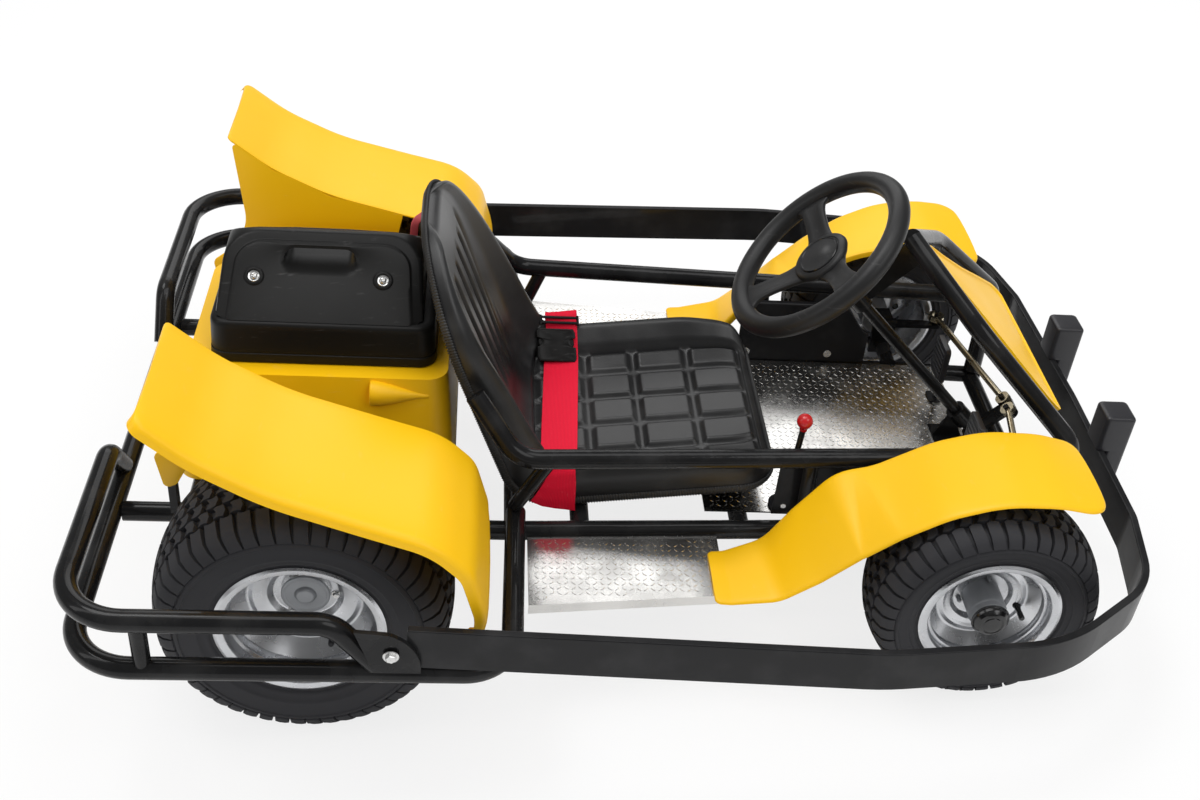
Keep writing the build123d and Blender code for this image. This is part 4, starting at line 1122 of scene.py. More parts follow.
@dataclass(frozen=True)
class RearGuard:
    """Rear mudguard: a strip that widens forwards, with a rolled outer lip and an inner wall."""

    side: Side
    thickness: float = 4.0
    route: tuple = (
        (-192, 410), (-120, 352), (-20, 300), (110, 262), (204, 236), (254, 188), (278, 104), (268, 44)
    )
    bends: tuple = (300, 400, 500, 150, 60, 80)
    span: tuple = (-192, 262)
    inner_y: tuple = (286, 314)
    outer_y: tuple = (531, 576)
    wall: tuple = (
        (-188, 404), (-171, 244), (-190, 195), (-237, 160), (-226, 95), (-206, 104),
        (-168, 178), (-90, 212), (0, 226), (100, 216), (110, 259), (-20, 297), (-120, 349),
    )
    wall_bends: tuple = (6, 80, 60, 14, 10, 20, 50, 90, 120, 8, 4, 0, 0)

    def edge(self, line: Points, across: tuple) -> Points:
        """Edge in its leaning plane: y grows evenly with x between two stations."""
        share = (line[:, 0] - self.span[0]) / (self.span[1] - self.span[0])
        return np.stack((line[:, 0], across[0] + share * (across[1] - across[0]), line[:, 1]), axis=-1)

    def build(self) -> None:
        """Make the strip and the wall as one piece."""
        line = bent([(x, z) for x, z in self.route], self.bends, 14)
        inner, outer = self.edge(line, self.inner_y), self.edge(line, self.outer_y)
        inner, outer = rounded_ends(inner, outer, (10, 18, 14, 40), 150)
        loop = [
            (0, 0.6, -1), (0, 4, 0), (0, 20, 0.6), (0.15, 0, 2), (0.3, 0, 3), (0.5, 0, 3.6), (0.7, 0, 3),
            (0.85, 0, 2), (1, -28, 1.2), (1, -18, 0.2), (1, -12, -1.6), (1, -8, -5), (1, -6.4, -9),
            (1, -6, -15), (1, -5, -17.4), (1, -6.6, -18.6), (1, -9.4, -16), (1, -10.4, -10),
            (1, -13, -6), (1, -18, -4), (1, -30, -3.2), (0.5, 0, -0.6), (0, 20, -3.6), (0, 2, -4),
            (0, 0.4, -3),
        ]
        shell = strip_shell(inner, outer, loop)
        wall = bent([self.wall[-1], *self.wall, self.wall[0]], self.wall_bends, 8)[1:-1]
        ahead = np.roll(wall, -1, axis=0)
        clockwise = (ahead[:, 0] * wall[:, 1] - wall[:, 0] * ahead[:, 1]).sum() > 0
        wall = wall[::-1] if clockwise else wall
        rings, height = cut_plate(wall, self.thickness, 1.2)
        share = (rings[..., 0] - self.span[0]) / (self.span[1] - self.span[0])
        y = self.inner_y[0] + share * (self.inner_y[1] - self.inner_y[0]) + height[:, None]
        shell.grid(np.stack((rings[..., 0], y, rings[..., 1]), axis=-1))
        guard = shell.sided(self.side).build(f"rear_mudguard_{self.side.word}_moulded", 40)
        dress(guard, YELLOW, "chassis", (f"rear_mudguard_{self.side.word}",))


@dataclass(frozen=True)
class FrontGuard:
    """Front mudguard: a shelf over the wheel whose edges follow their own curves to the step plate."""

    side: Side
    radius: float = 183.0
    tail: tuple = ((636, 5.6), (662, 7.0), (662, 6.0))
    inner: tuple = (
        (180.7, 151), (168.5, 117.1), (150, 89.4), (139.9, 47), (113.7, 31), (91.6, 33.1), (68.2, 43.2),
        (51.7, 59.1),
    )
    outer: tuple = (
        (182.9, 138.4), (174, 84.5), (158.3, 44.1), (139.1, 23.3), (118.2, 20.1), (95.7, 30),
        (74.9, 42.8), (56.6, 67.4),
    )
    bends: tuple = (20, 60, 60, 70, 120, 200, 200, 200)
    span: tuple = (650, 1200)
    inner_y: tuple = (302, 270)
    outer_y: tuple = (430, 476)

    def edge(self, turns: tuple, tail: tuple, across: tuple) -> Points:
        """Edge line: the tail's points, then points at an angle and a clearance round the tyre."""
        angle, clear = np.array(turns, float).T
        reach, turn = self.radius + clear, np.radians(angle)
        round_x, round_z = WHEELBASE + reach * np.cos(turn), FRONT_AXLE_RISE + reach * np.sin(turn)
        route = np.concatenate(([self.tail[0], tail], np.stack((round_x, round_z), axis=-1)))
        line = bent(list(route), self.bends, 12)
        share = (line[:, 0] - self.span[0]) / (self.span[1] - self.span[0])
        return np.stack((line[:, 0], across[0] + share * (across[1] - across[0]), line[:, 1]), axis=-1)

    def build(self) -> None:
        """Make the guard."""
        inner = self.edge(self.inner, self.tail[1], self.inner_y)
        outer = self.edge(self.outer, self.tail[2], self.outer_y)
        inner, outer = rounded_ends(inner, outer, (8, 10, 26, 34), 150)
        loop = [
            (0, 5, -13), (0, 3.4, -12), (0, 3, -6), (0, 4, -2.6), (0, 7, -0.6), (0, 12, 0), (0.2, 0, 1.4),
            (0.4, 0, 2.4), (0.6, 0, 2.4), (0.8, 0, 1.4), (1, -14, 0), (1, -9, -0.8), (1, -6, -2.0),
            (1, -4.6, -3.4), (1, -4, -5.0), (1, -5.4, -5.6), (1, -7.4, -5.2), (1, -9.4, -4.4),
            (1, -12, -4.1), (1, -16, -4), (0.5, 0, -1.6), (0, 16, -4), (0, 9, -5), (0, 7, -8),
            (0, 6.6, -12),
        ]
        shell = strip_shell(inner, outer, loop)
        guard = shell.sided(self.side).build(f"front_mudguard_{self.side.word}_moulded", 40)
        dress(guard, YELLOW, "chassis", (f"front_mudguard_{self.side.word}",))


@dataclass(frozen=True)
class NosePanel:
    """Yellow panel inside the hoop, bell-shaped, with a raised border."""

    top: tuple = (WHEELBASE - 70, 414)
    foot: tuple = (WHEELBASE + 160, 214)
    thickness: float = 5.0
    outline: tuple = ((0, 182), (0.09, 184), (0.3, 140), (0.55, 84), (0.78, 44), (0.93, 24), (0.985, 8))

    def build(self) -> None:
        """Make the panel from rings drawn in to its spine, each ring of the face lifted by its own listed
        amount.
        """
        foot, top = np.array((self.foot[0], 0, self.foot[1])), np.array((self.top[0], 0, self.top[1]))
        rise = top - foot
        axes = Axes(tuple(foot), (0, 1, 0), tuple(rise))
        length = float(np.linalg.norm(rise))
        half = [(0, 0.0), *[(y, share * length) for share, y in self.outline], (0, 0.992 * length)]
        flank = bent(half, (14, 40, 60, 60, 60, 14, 6), 10)
        flank = resampled(flank, 90)
        ring = np.concatenate((flank, (flank * (-1, 1))[-2:0:-1]))
        widths = (1.0, 1.0, 0.992, 0.975, 0.955, 0.94, 0.93, 0.80, 0.6, 0.4, 0.2, 0.02)
        raised = (0.0, 0.4, 0.0, 0.0, 0.0, -2.2, -2.6, -2.0, -1.2, -0.7, -0.4, -0.3)
        shell = Shell()
        centre = length * 0.36
        rows = []
        for width, lift in zip(widths, raised):
            near_edge = 1 - (1 - width) * 0.5 if width > 0.9 else 0.97 - (0.93 - width) * 0.6
            rows.append((ring[:, 0] * width, centre + (ring[:, 1] - centre) * near_edge, lift))
        front = [
            axes.at(y, up, self.thickness + lift - (0.8 if n == 0 else 0))
            for n, (y, up, lift) in enumerate(rows)
        ]
        back = axes.at(ring[:, 0] * 0.995, ring[:, 1], 0.0 * ring[:, 0])
        shell.grid(np.stack([back, *front]))
        panel = shell.build("nose_panel_moulded", 40)
        dress(panel, YELLOW, "chassis", ("nose_panel",))


def polar_loop(outline: Points, centre: tuple, angles: Points) -> Points:
    """Outline read as a distance from a centre at given angles.

    Args:
        outline: Closed outline seen whole from the centre.
        centre: The centre.
        angles: Angles, rising.

    Returns:
        Points of the outline at those angles, by linear interpolation of distance over angle.
    """
    away = outline - np.array(centre)
    turn, reach = np.arctan2(away[:, 1], away[:, 0]), np.linalg.norm(away, axis=1)
    order = np.argsort(turn)
    far = np.interp(angles, turn[order], reach[order], period=2 * np.pi)
    return np.array(centre) + far[:, None] * np.stack((np.cos(angles), np.sin(angles)), axis=-1)


@dataclass(frozen=True)
class BatteryCase:
    """Case over the battery: a stepped tray and a clamshell lid with a carrying slot, bolts and strap."""

    tray_z: float = 232.3
    tray_h: float = 74.0
    lid_h: float = 92.0
    span: tuple = (-172, 187)
    width: float = 276.0
    slot_x: float = -2.0
    slope: tuple[float, float] = (0.747, 0.665)

    @property
    def lid_z(self) -> float:
        """Height of the lid's foot."""
        return self.tray_z + self.tray_h + 0.3

    def tray(self) -> Shell:
        """Tray lofted through level rounded rectangles, each drawn in by its own amount."""
        levels = [
            (0, 3, 26), (1.5, 0.8, 30), (4, 0, 30), (17, 1, 30), (18, 2.6, 29), (20, 2.6, 29), (21, 1.6, 30),
            (58, 3.2, 29), (60, 3.2, 29), (67, 3.6, 28), (71, 5.2, 27), (73, 8.5, 24), (74, 13, 22),
            (74, 30, 12),
        ]
        middle = sum(self.span) / 2
        rings = []
        for height, drawn, corner in levels:
            long_side, short_side = self.span[1] - self.span[0] - 2 * drawn, self.width - 2 * drawn
            ring = rounded_box(long_side, short_side, corner, 7)
            rings.append(
                np.column_stack((ring[:, 0] + middle, ring[:, 1], 0 * ring[:, 0] + self.tray_z + height))
            )
        return Shell().grid(np.stack(rings))

    def lid(self) -> Shell:
        """Lid as one loop of rings, from the near slot over the near face, the ridge and the far face.

        A ring is read from the slot's centre at the same angles as its neighbours. Along x it is as wide as
        its outline, and its height share leans it from its foot to its top.

        Returns:
            The closed shell.
        """
        angles = np.linspace(-np.pi, np.pi, 192, endpoint=False)
        foot, crest = self.lid_z, self.lid_z + self.lid_h

        def ring(
            back: float, ahead: float, foot_y: float, top_y: float, top_z: float, corner: float
        ) -> Points:
            """Ring whose outline is a tab with round upper corners."""
            tall = math.hypot(foot_y - top_y, top_z - foot)
            share = tall / math.hypot(96, 92)
            route = [(0, 0), (back, 0), (back + 9, tall), (ahead - 9, tall), (ahead, 0), (1, 0)]
            tab = bent(route, (3, corner, corner, 3), 10)
            dense = resampled(np.concatenate((tab, tab[:1])), 1500)[:-1]
            hub = (self.slot_x, 90 * share)
            loop = polar_loop(dense, hub, angles)
            part = loop[:, 1] / tall
            return np.column_stack(
                (loop[:, 0], -foot_y - part * (top_y - foot_y), foot + part * (top_z - foot))
            )

        def slot(half_long: float, half_high: float, y: float, z: float, lean: float, dip: float) -> Points:
            """Ring of the carrying slot: a long round-ended hole with a raised grip along its lower edge."""
            outline = rounded_box(2 * half_long, 2 * half_high, half_high - 0.2, 16)
            outline[:, 1] += np.where(outline[:, 1] < 0, dip * np.exp(-((outline[:, 0] / 22) ** 2)), 0)
            dense = resampled(np.concatenate((outline, outline[:1])), 800)[:-1]
            loop = polar_loop(dense, (0, 0), angles)
            up = loop[:, 1]
            in_y, in_z = self.slope[0] * lean, 1 - (1 - self.slope[1]) * lean
            return np.column_stack((loop[:, 0] + self.slot_x, y + up * in_y, z + up * in_z))

        rings = [
            slot(54, 15, -2, 370, 0.0, 2),
            slot(55, 16, -26, 370, 0.5, 3),
            slot(57, 19, -42, 369.5, 0.9, 6),
            slot(62, 23, -45.5, 369.8, 1.0, 6),
            slot(66, 26, -47, 370.2, 1.0, 5),
            ring(-136, 142, 128, 25.5, crest - 11.5, 40),
            ring(-140, 146, 127.5, 22, crest - 9.5, 43),
            ring(-142, 148, 126, 16.5, crest - 10.5, 45),
            ring(-144, 150, 124, 14, crest - 9.0, 47),
            ring(-154, 160, 122, 8, crest - 2.5, 54),
            ring(-158, 164, 119, 5, crest - 1.2, 56),
            ring(-160, 166, 110, 2, crest - 0.6, 57),
        ]
        far = [r * (1, -1, 1) for r in rings[::-1]]
        return Shell().grid(np.stack([*rings, *far]), round_u=True)

    def face(self, hand: int) -> Axes:
        """Axes of the lid's leaning face on one hand, at the height of its bolts."""
        middle = (self.slot_x, hand * 70.2, self.lid_z + 46.2)
        return Axes(middle, (-hand, 0, 0), (0, -hand * self.slope[0], self.slope[1]))

    def at_bolts(self, *profiles: tuple[list, int]) -> Shell:
        """Profiles, each with its steps round, turned at the two bolts of the near and of the far face."""
        shell = Shell()
        for near in (-1, 1):
            face = self.face(near)
            for x in (-101, 101):
                for profile, count in profiles:
                    shell.grid(face.turn(profile, count, (x, 0)), round_u=True)
        return shell

    def bolts(self) -> Shell:
        """Domed bolts in dished washers."""
        dish = [(-1, 0.3), (-1, 9.5), (0.6, 9.5), (1.2, 8.6), (0.2, 6.4), (0.2, 0.3)]
        dome = [(0, 0.3), (0, 6.2), (1.6, 6.0), (3.2, 4.6), (3.9, 2.4), (3.0, 1.6), (3.0, 0.3)]
        return self.at_bolts((dish, 32), (dome, 24))

    def collars(self) -> Shell:
        """Low moulded rings round the bolts."""
        rim = [(-1.5, 9.8), (0.6, 9.8), (2.0, 11), (2.2, 12.6), (1.0, 15), (-1.5, 16.5)]
        return self.at_bolts((rim, 40))

    def strap(self) -> Shell:
        """Strap loop: a flat band carried along the node's route."""
        route = [(140, 66, 344), (143, 70, 384), (174, 96, 396), (190, 110, 350), (186, 112, 309)]
        path = resampled(bent(route, (16, 20, 24), 12), 60)
        section = rounded_box(13, 4.2, 1.6, 4)
        return Shell().grid(swept(path, section[:, ::-1], (1, 0, 0)))

    def build(self) -> None:
        """Make and dress the case's pieces."""
        dress(self.tray().build("case_tray_moulded", 42), CASE_PLASTIC, "chassis", ("case_tray",))
        dress(self.lid().build("case_lid_moulded", 42), CASE_PLASTIC, "chassis", ("case_lid",))
        dress(self.collars().build("case_bolt_collars"), CASE_PLASTIC, "chassis")
        dress(self.bolts().build("case_bolts"), ZINC, "chassis")
        dress(self.strap().build("case_strap_band"), STRAP_RED, "chassis", ("case_strap",))


@dataclass(frozen=True)
class Seat:
    """Bucket seat: raised pads, a fluted back between smooth bolsters, and an edge of ribbed piping."""

    route: tuple = ((752, 92), (338, 40), (179, 455))
    bend: float = 62.0
    half_width: float = 220.0
    front_corner: float = 60.0
    top_corner: float = 190.0
    depth: float = 24.0
    section: tuple = ((0, 0), (126, 0), (160, 10), (196, 49), (211, 47), (218, 20))
    seams_across: tuple = (14, 113, 213, 302, 396)
    seams_along: tuple = (-165, -112, -38, 38, 112, 165)
    groove: float = 9.5
    flutes: tuple = (-72, -24, 24, 72)
    cells: tuple[int, int] = (250, 156)

    def path(self) -> tuple[Points, Points, float]:
        """Middle line of the seat from the front of the pan to the top of the back.

        Returns:
            Points (x, z), the direction that faces the driver at each, and the line's length.
        """
        line = resampled(bent([(x, z) for x, z in self.route], self.bend, 16), 700)
        ways = unit(np.gradient(line, axis=0))
        length = float(np.linalg.norm(np.diff(line, axis=0), axis=1).sum())
        return line, np.stack((ways[:, 1], -ways[:, 0]), axis=-1), length

    def at(self, along: Points | float, across: Points | float, lift: Points | float) -> Points:
        """Chassis points from a place on the middle line, y across, and a lift towards the driver."""
        line, face, length = self.path()
        along, across, lift = np.broadcast_arrays(
            *(np.asarray(part, float) for part in (along, across, lift))
        )
        travel = np.linspace(0, length, len(line))
        x, z, nx, nz = (np.interp(along, travel, part) for part in (*line.T, *face.T))
        return np.stack((x + lift * nx, across, z + lift * nz), axis=-1)

    def half(self, along: Points) -> Points:
        """Half width at a place on the line: each corner is a quarter circle."""
        length = self.path()[2]
        wide = np.full_like(along, self.half_width)
        for left, corner in ((along, self.front_corner), (length - along, self.top_corner)):
            short = np.clip(corner - left, 0, corner)
            wide -= corner - np.sqrt(corner**2 - short**2)
        return wide

    def shell_height(self, along: Points, across: Points) -> Points:
        """Height of the bare bucket, whose bolsters fade to the top and a little to the front."""
        length = self.path()[2]
        outline = bent([(-126, 0), *self.section[1:]], (40, 44, 9, 20), 10)
        base = np.interp(np.abs(across), outline[:, 0], outline[:, 1])
        fade = (1 - 0.84 * smooth((along - length + 380) / 400)) * (0.62 + 0.38 * smooth(along / 130))
        wing = 1 + 0.24 * np.exp(-(((along - 425) / 60) ** 2))
        return base * fade * wing

    def relief(self, along: Points, across: Points) -> Points:
        """Depth pressed into the bucket: seams round the pan's pads and slanted flutes up the back.

        A seam is level at its bottom and climbs by a smooth ramp over 11 mm. The pads between crown by a
        small share of their own size. A flute leans outwards on its way up, and fades at both ends.
        """
        length = self.path()[2]
        to_row = np.min([np.abs(along - seam) for seam in self.seams_across], axis=0)
        to_lane = np.min([np.abs(across - seam) for seam in self.seams_along], axis=0)
        in_field = smooth((166.5 - np.abs(across)) / 3) * smooth((along - 10) / 6) * smooth((400 - along) / 5)
        pillow = smooth((to_row - 1.8) / 11) * smooth((to_lane - 1.8) / 11)
        crown = 2.6 * smooth(to_row / 44) * smooth(to_lane / 34)
        rim = smooth(np.abs(np.abs(across) - 165) / 9) * smooth(np.abs(along - 8) / 9 + (along > 404))
        pressed = in_field * (self.groove * (1 - pillow) - crown)
        pressed = np.maximum(
            pressed, (1 - rim) * 5 * smooth((402 - along) / 8) * smooth((175 - np.abs(across)) / 4)
        )
        up = along - (length - 400)
        lean = 0.86 + 0.34 * np.clip(up / 330, 0, 1) ** 1.4
        to_flute = np.min([np.abs(across - spot * lean) for spot in self.flutes], axis=0)
        open_part = smooth((up - 20) / 60) * smooth((316 - up) / 40)
        middle = smooth((98 * lean - np.abs(across)) / 10)
        flute = (1 - smooth((to_flute - 2) / 13)) * open_part * middle * 10.0
        border = np.exp(-(((np.abs(across) - 110 * lean) / 8) ** 2)) * 5
        border = border * smooth((up - 10) / 50) * smooth((340 - up) / 40)
        return pressed + flute + border

    def top(self, along: Points, across: Points) -> Points:
        """Height of the finished top surface."""
        return self.shell_height(along, across) - self.relief(along, across)

    def bucket(self) -> Shell:
        """Closed bucket: the top surface, its outer wall and a flat underside, rolled at both ends.

        The roll draws every height to the underside by a quarter circle, over the last 28 mm at the front
        and the last 24 mm at the top.
        """
        length = self.path()[2]
        rows, columns = self.cells
        share = np.linspace(-1, 1, rows)
        along = length * (0.5 + 0.5 * np.sign(share) * (1 - (1 - np.abs(share)) ** 1.15))[:, None]
        lane = np.linspace(-205, 205, columns)[None]
        wall = np.array(
            [(211, 41), (216, 31), (219, 18), (220, 4), (220, -12), (218, -19), (212, -23.4), (202, -24)]
        )
        under = np.array([(150, -24), (75, -24)])
        scale = self.half(along[:, 0])[:, None] / self.half_width
        high = self.top(along, lane)
        fade = self.shell_height(along, np.full((1, 1), 211.0)) / 47
        right = np.concatenate((wall, under))
        side_y = np.broadcast_to(right[:, 0], (rows, len(right)))
        side_n = np.where(right[:, 1] > 0, right[:, 1] * fade, right[:, 1])
        across = np.concatenate((lane + 0 * along, side_y, 0 * along, -side_y[:, ::-1]), axis=1) * scale
        lift = np.concatenate((high, side_n, 0 * along - 24, side_n[:, ::-1]), axis=1)
        for left, roll in ((along, 28), (length - along, 24)):
            short = np.clip(1 - left / roll, 0, 1)
            lift = -self.depth + (lift + self.depth) * np.sqrt(1 - short**2)
        return Shell().grid(self.at(along + 0 * across, across, lift))

    def piping(self) -> Shell:
        """Ribbed edge piping round the bucket's lower rim: a tube whose radius swells once every 4 mm."""
        length = self.path()[2]
        along = np.linspace(0, length, 260)
        wide = self.half(along) + 0.6
        side = self.at(along, wide, -17.0 + 0 * along)
        rim = np.concatenate((side, (side * (1, -1, 1))[::-1], side[:1]))
        path = resampled(rim, 2100)
        swell = 1 + 0.17 * np.cos(np.arange(2100) * np.pi / 2)
        band = circle(1.0, 10) * (3.4, 7.2)
        return Shell().grid(swept(path[:-1], band, (0.35, 0, 0.94), swell[:-1]), round_u=True)

    def build(self) -> None:
        """Make the bucket and its piping."""
        bucket = dress(self.bucket().build("seat_bucket", 60), VINYL, "chassis", ("seat",))
        dress(self.piping().build("seat_piping", 80, merge=False), PIPING, "chassis")


@dataclass(frozen=True)
class LapBelt:
    """Lap belt across the seat: webbing, ladder lock and side-release buckle on the far bolster."""

    seat: Seat
    centre_x: float = 402.0
    width: float = 64.0
    thickness: float = 2.2
    buckle_y: float = 170.0

    @property
    def along(self) -> float:
        """The belt's place on the seat's middle line."""
        return (self.seat.route[0][0] - self.centre_x) * 1.0079

    def run(self) -> tuple[Points, Points]:
        """Belt's line in the section plane: over both bolsters and down their outer walls.

        The webbing follows the bare bucket 1.8 mm clear of it and doesn't dip into the seams. Past the far
        bolster the stiff webbing bows up before it drops.

        Returns:
            Places across and heights.
        """
        lane = np.linspace(-203, 203, 150)
        high = self.seat.shell_height(np.full_like(lane, self.along), lane) + 1.8
        near = np.array([(-224.5, -27), (-225.5, -8), (-224.5, 16), (-219.5, 40), (-212, 51.5)])
        far = np.array(
            [(200, 62), (207, 69), (215, 70), (222, 62), (227, 44), (228, 16), (226, -8), (224.5, -27)]
        )
        points = np.concatenate((near, np.column_stack((lane, high))[lane < 190], far))
        line = resampled(points, 220)
        return line[:, 0], line[:, 1]

    def web(self) -> Shell:
        """Webbing as a thin closed strip with soft edges; its ends are cut on the slant."""
        across, lift = self.run()
        travel = np.concatenate(([0], np.cumsum(np.hypot(np.diff(across), np.diff(lift)))))
        ways = unit(np.column_stack((np.gradient(across), np.gradient(lift))))
        half, thick = self.width / 2, self.thickness
        section = np.array([
            (-half, 0.3), (-half + 1, 0), (-half / 2, 0), (0, 0), (half / 2, 0), (half - 1, 0), (half, 0.3),
            (half, thick - 0.3), (half - 1, thick), (half / 2, thick), (0, thick), (-half / 2, thick),
            (-half + 1, thick), (-half, thick - 0.3),
        ])
        drift = 5 * smooth(1 - travel / 60)[:, None] - 0.05 * across[:, None]
        slant = (np.clip(1 - travel / 60, 0, 1)[:, None]) * section[:, 0] * 0.28
        ripple = 0.5 * np.sin(travel[:, None] / 19 + section[:, 0] / 15)
        y = across[:, None] - ways[:, 1:] * (section[:, 1] + ripple) + ways[:, :1] * slant
        n = lift[:, None] + ways[:, :1] * (section[:, 1] + ripple) + ways[:, 1:] * slant
        s = self.along + section[:, 0] + drift
        flow = np.stack((travel[:, None] + 0 * s, section[:, 0] + 0 * s, 0 * s), axis=-1)
        return Shell().grid(self.seat.at(s, y, n), flow=flow)

    def mount(self, across: float, lift: float) -> Axes:
        """Axes lying on the far bolster's inner bank, at a place across it."""
        spots = across + np.array((-14.0, 14.0))
        low, high = self.seat.at(self.along, spots, self.seat.shell_height(np.array(self.along), spots))
        up = unit(high - low)
        out = np.cross((1.0, 0, 0), up)
        return Axes(tuple((low + high) / 2 + out * lift), (1, 0, 0), tuple(up))

    def buckle(self) -> Shell:
        """Side-release buckle: a notched body with a raised middle and a step for the webbing.

        The body's half width is drawn in by a round bite where the side catches show.
        """
        axes = self.mount(self.buckle_y, 5.4)
        up = np.linspace(-31, 31, 64)
        bite = 9.5 * np.sqrt(np.maximum(0, 1 - (np.abs(up - 5) / 9) ** 2))
        shoulder = 3 * smooth((np.abs(up) - 24) / 7)
        half = 36 - bite - shoulder
        ring = np.concatenate((np.column_stack((half, up)), np.column_stack((-half, up))[::-1]))
        shell = Shell()
        levels = ((0.94, 0.0), (1.0, 1.2), (1.0, 8.6), (0.97, 10.0), (0.84, 10.8), (0.8, 10.2), (0.3, 11.2))
        shell.grid(np.stack([axes.at(ring[:, 0] * k, ring[:, 1] * (0.5 + k / 2), h) for k, h in levels]))
        for hand in (-1, 1):
            middle = np.array((hand * 28.5, 5))
            rises = ((0.9, 1.5), (1.0, 2.5), (1.0, 7.6), (0.8, 8.8))
            rows = [axes.at(*(rounded_box(9, 14, 4, 5) * k + middle).T, h) for k, h in rises]
            shell.grid(np.stack(rows))
        return shell

    def lock(self) -> Shell:
        """Ladder lock above the buckle: a frame's two bars and its side cheeks, as rounded rods."""
        low, high = self.seat.at(self.along - 9, 191, 54), self.seat.at(self.along - 9, 207, 70)
        axes = Axes(tuple(low + 0.5 * (high - low)), (1, 0, 0), tuple(high - low))
        shell = Shell()
        for up, high in ((-5, 4.6), (5, 3.8)):
            rod = axes.at(np.linspace(-33, 33, 12), up, high)
            shell.grid(swept(rod, rounded_box(5.2, 3.6, 1.4, 3), axes_out(axes)))
        for hand in (-1, 1):
            rod = axes.at(hand * 34.5, np.linspace(-9, 9, 8), 3.4)
            shell.grid(swept(rod, rounded_box(4.6, 6.4, 1.6, 3), axes_out(axes)))
        return shell

    def build(self) -> None:
        """Make the webbing, the lock and the buckle."""
        web = dress(self.web().build("lap_belt_webbing", 50), WEBBING, "chassis", ("lap_belt",))
        across, lift = self.run()
        dress(self.buckle().build("lap_belt_buckle", 40), CASE_PLASTIC, "chassis", ("belt_buckle",))
        dress(self.lock().build("lap_belt_lock", 40), CASE_PLASTIC, "chassis")


def axes_out(axes: Axes) -> tuple:
    """Outward direction of a face's axes."""
    way = np.cross(unit(np.array(axes.across, float)), unit(np.array(axes.up, float)))
    return tuple(float(part) for part in way)


@dataclass(frozen=True)
class SteeringWheel:
    """Three-spoke wheel: a padded grip ring, flared spokes and a domed hub with a bare oval badge."""

    hub: tuple = (WHEELBASE - 247, 0, 394)
    fall: float = math.radians(45.5)
    ring: float = 155.5
    grip: tuple[float, float] = (18.0, 18.0)
    spokes: tuple = (87, 193, 352)
    sunk: float = 15.0
    spoke_wide: float = 20.0
    spoke_thick: float = 5.2
    boss: float = 51.0

    @property
    def axes(self) -> Axes:
        """Axes of the wheel's plane: across to the left, up towards the lap, out along the column."""
        return Axes(self.hub, (0, 1, 0), (-math.sin(self.fall), 0, -math.cos(self.fall)))

    def grip_ring(self) -> Shell:
        """Ring of oval section that swells a little at three places, with a seam inside.

        Its section is an ellipse of grip radii, turned about the column axis at the ring's radius.
        """
        turn = np.linspace(0, 2 * np.pi, 160, endpoint=False)[:, None]
        round_by = np.linspace(0, 2 * np.pi, 28, endpoint=False)[None]
        swell = 1 + 0.02 * np.cos(3 * (turn - np.pi / 2))
        seam = 1 - 0.07 * np.exp(-((np.abs(round_by - np.pi) / 0.13) ** 2))
        radial = self.ring + self.grip[0] * swell * seam * np.cos(round_by)
        out = self.grip[1] * swell * seam * np.sin(round_by) * 0.96
        spots = self.axes.at(radial * np.cos(turn), radial * np.sin(turn), out)
        return Shell().grid(spots, round_u=True)

    def spoke(self, angle: float) -> Shell:
        """Flared spoke: narrow at its middle, wide where it meets the hub and the grip.

        Half width = narrow + flare |2t - 1|^3 by t, the share of the way from hub to ring, and more where
        it meets the grip. Its top carries a shallow dish along the middle.
        """
        share = np.linspace(0, 1, 26)[:, None]
        reach = 34 + (self.ring - 12 - 34) * share
        half = self.spoke_wide + 12 * np.abs(2 * share - 1) ** 3 + 8 * smooth((share - 0.82) / 0.18)
        section = rounded_box(2, 2, 0.55, 5)
        lane = np.concatenate((section[:6], [[0.5, 1], [0.0, 1], [-0.5, 1]], section[6:]))
        dish = 2.2 * np.exp(-((lane[None, :, 0] / 0.42) ** 2))
        dish = dish * (lane[None, :, 1] > 0.9) * smooth(4 * share * (1 - share))
        wide = lane[None, :, 0] * half
        lift = lane[None, :, 1] * self.spoke_thick - dish - self.sunk * (1 - smooth(share * 1.1))
        way = math.radians(angle)
        along, over = math.cos(way), math.sin(way)
        return Shell().grid(self.axes.at(reach * along - wide * over, reach * over + wide * along, lift))

    def build(self) -> None:
        """Make the ring, the spokes, the hub and its badge."""
        shell = self.grip_ring()
        for angle in self.spokes:
            shell.join(self.spoke(angle))
        dress(shell.build("steering_wheel_grip", 50), GRIP, "steering", ("steering_wheel",))
        r = self.boss
        dome = [
            (-20, 0.3), (-20, r - 10), (-18, r - 5), (-11, r), (-7, r - 1), (-4, r - 4), (-2.8, r - 9),
            (-2.4, 40), (-3.6, 39), (-3.6, 0.3),
        ]
        hub = Shell().grid(self.axes.turn(dome, 72), round_u=True)
        dress(hub.build("steering_wheel_hub", 40), GRIP, "steering")
        angle = np.linspace(0, 2 * np.pi, 72, endpoint=False)
        rows = (
            (39, -4.4), (39, -1.8), (38, -0.6), (36.4, -0.6), (35.6, -1.6), (34.4, -1.7), (16, -0.2),
            (0.4, 0.2),
        )
        rings = [self.axes.at(k * np.cos(angle), k * np.sin(angle) * 0.94, out) for k, out in rows]
        badge = Shell().grid(np.stack(rings)).build("steering_wheel_badge", 30)
        dress(badge, CAP_BLACK, "steering")


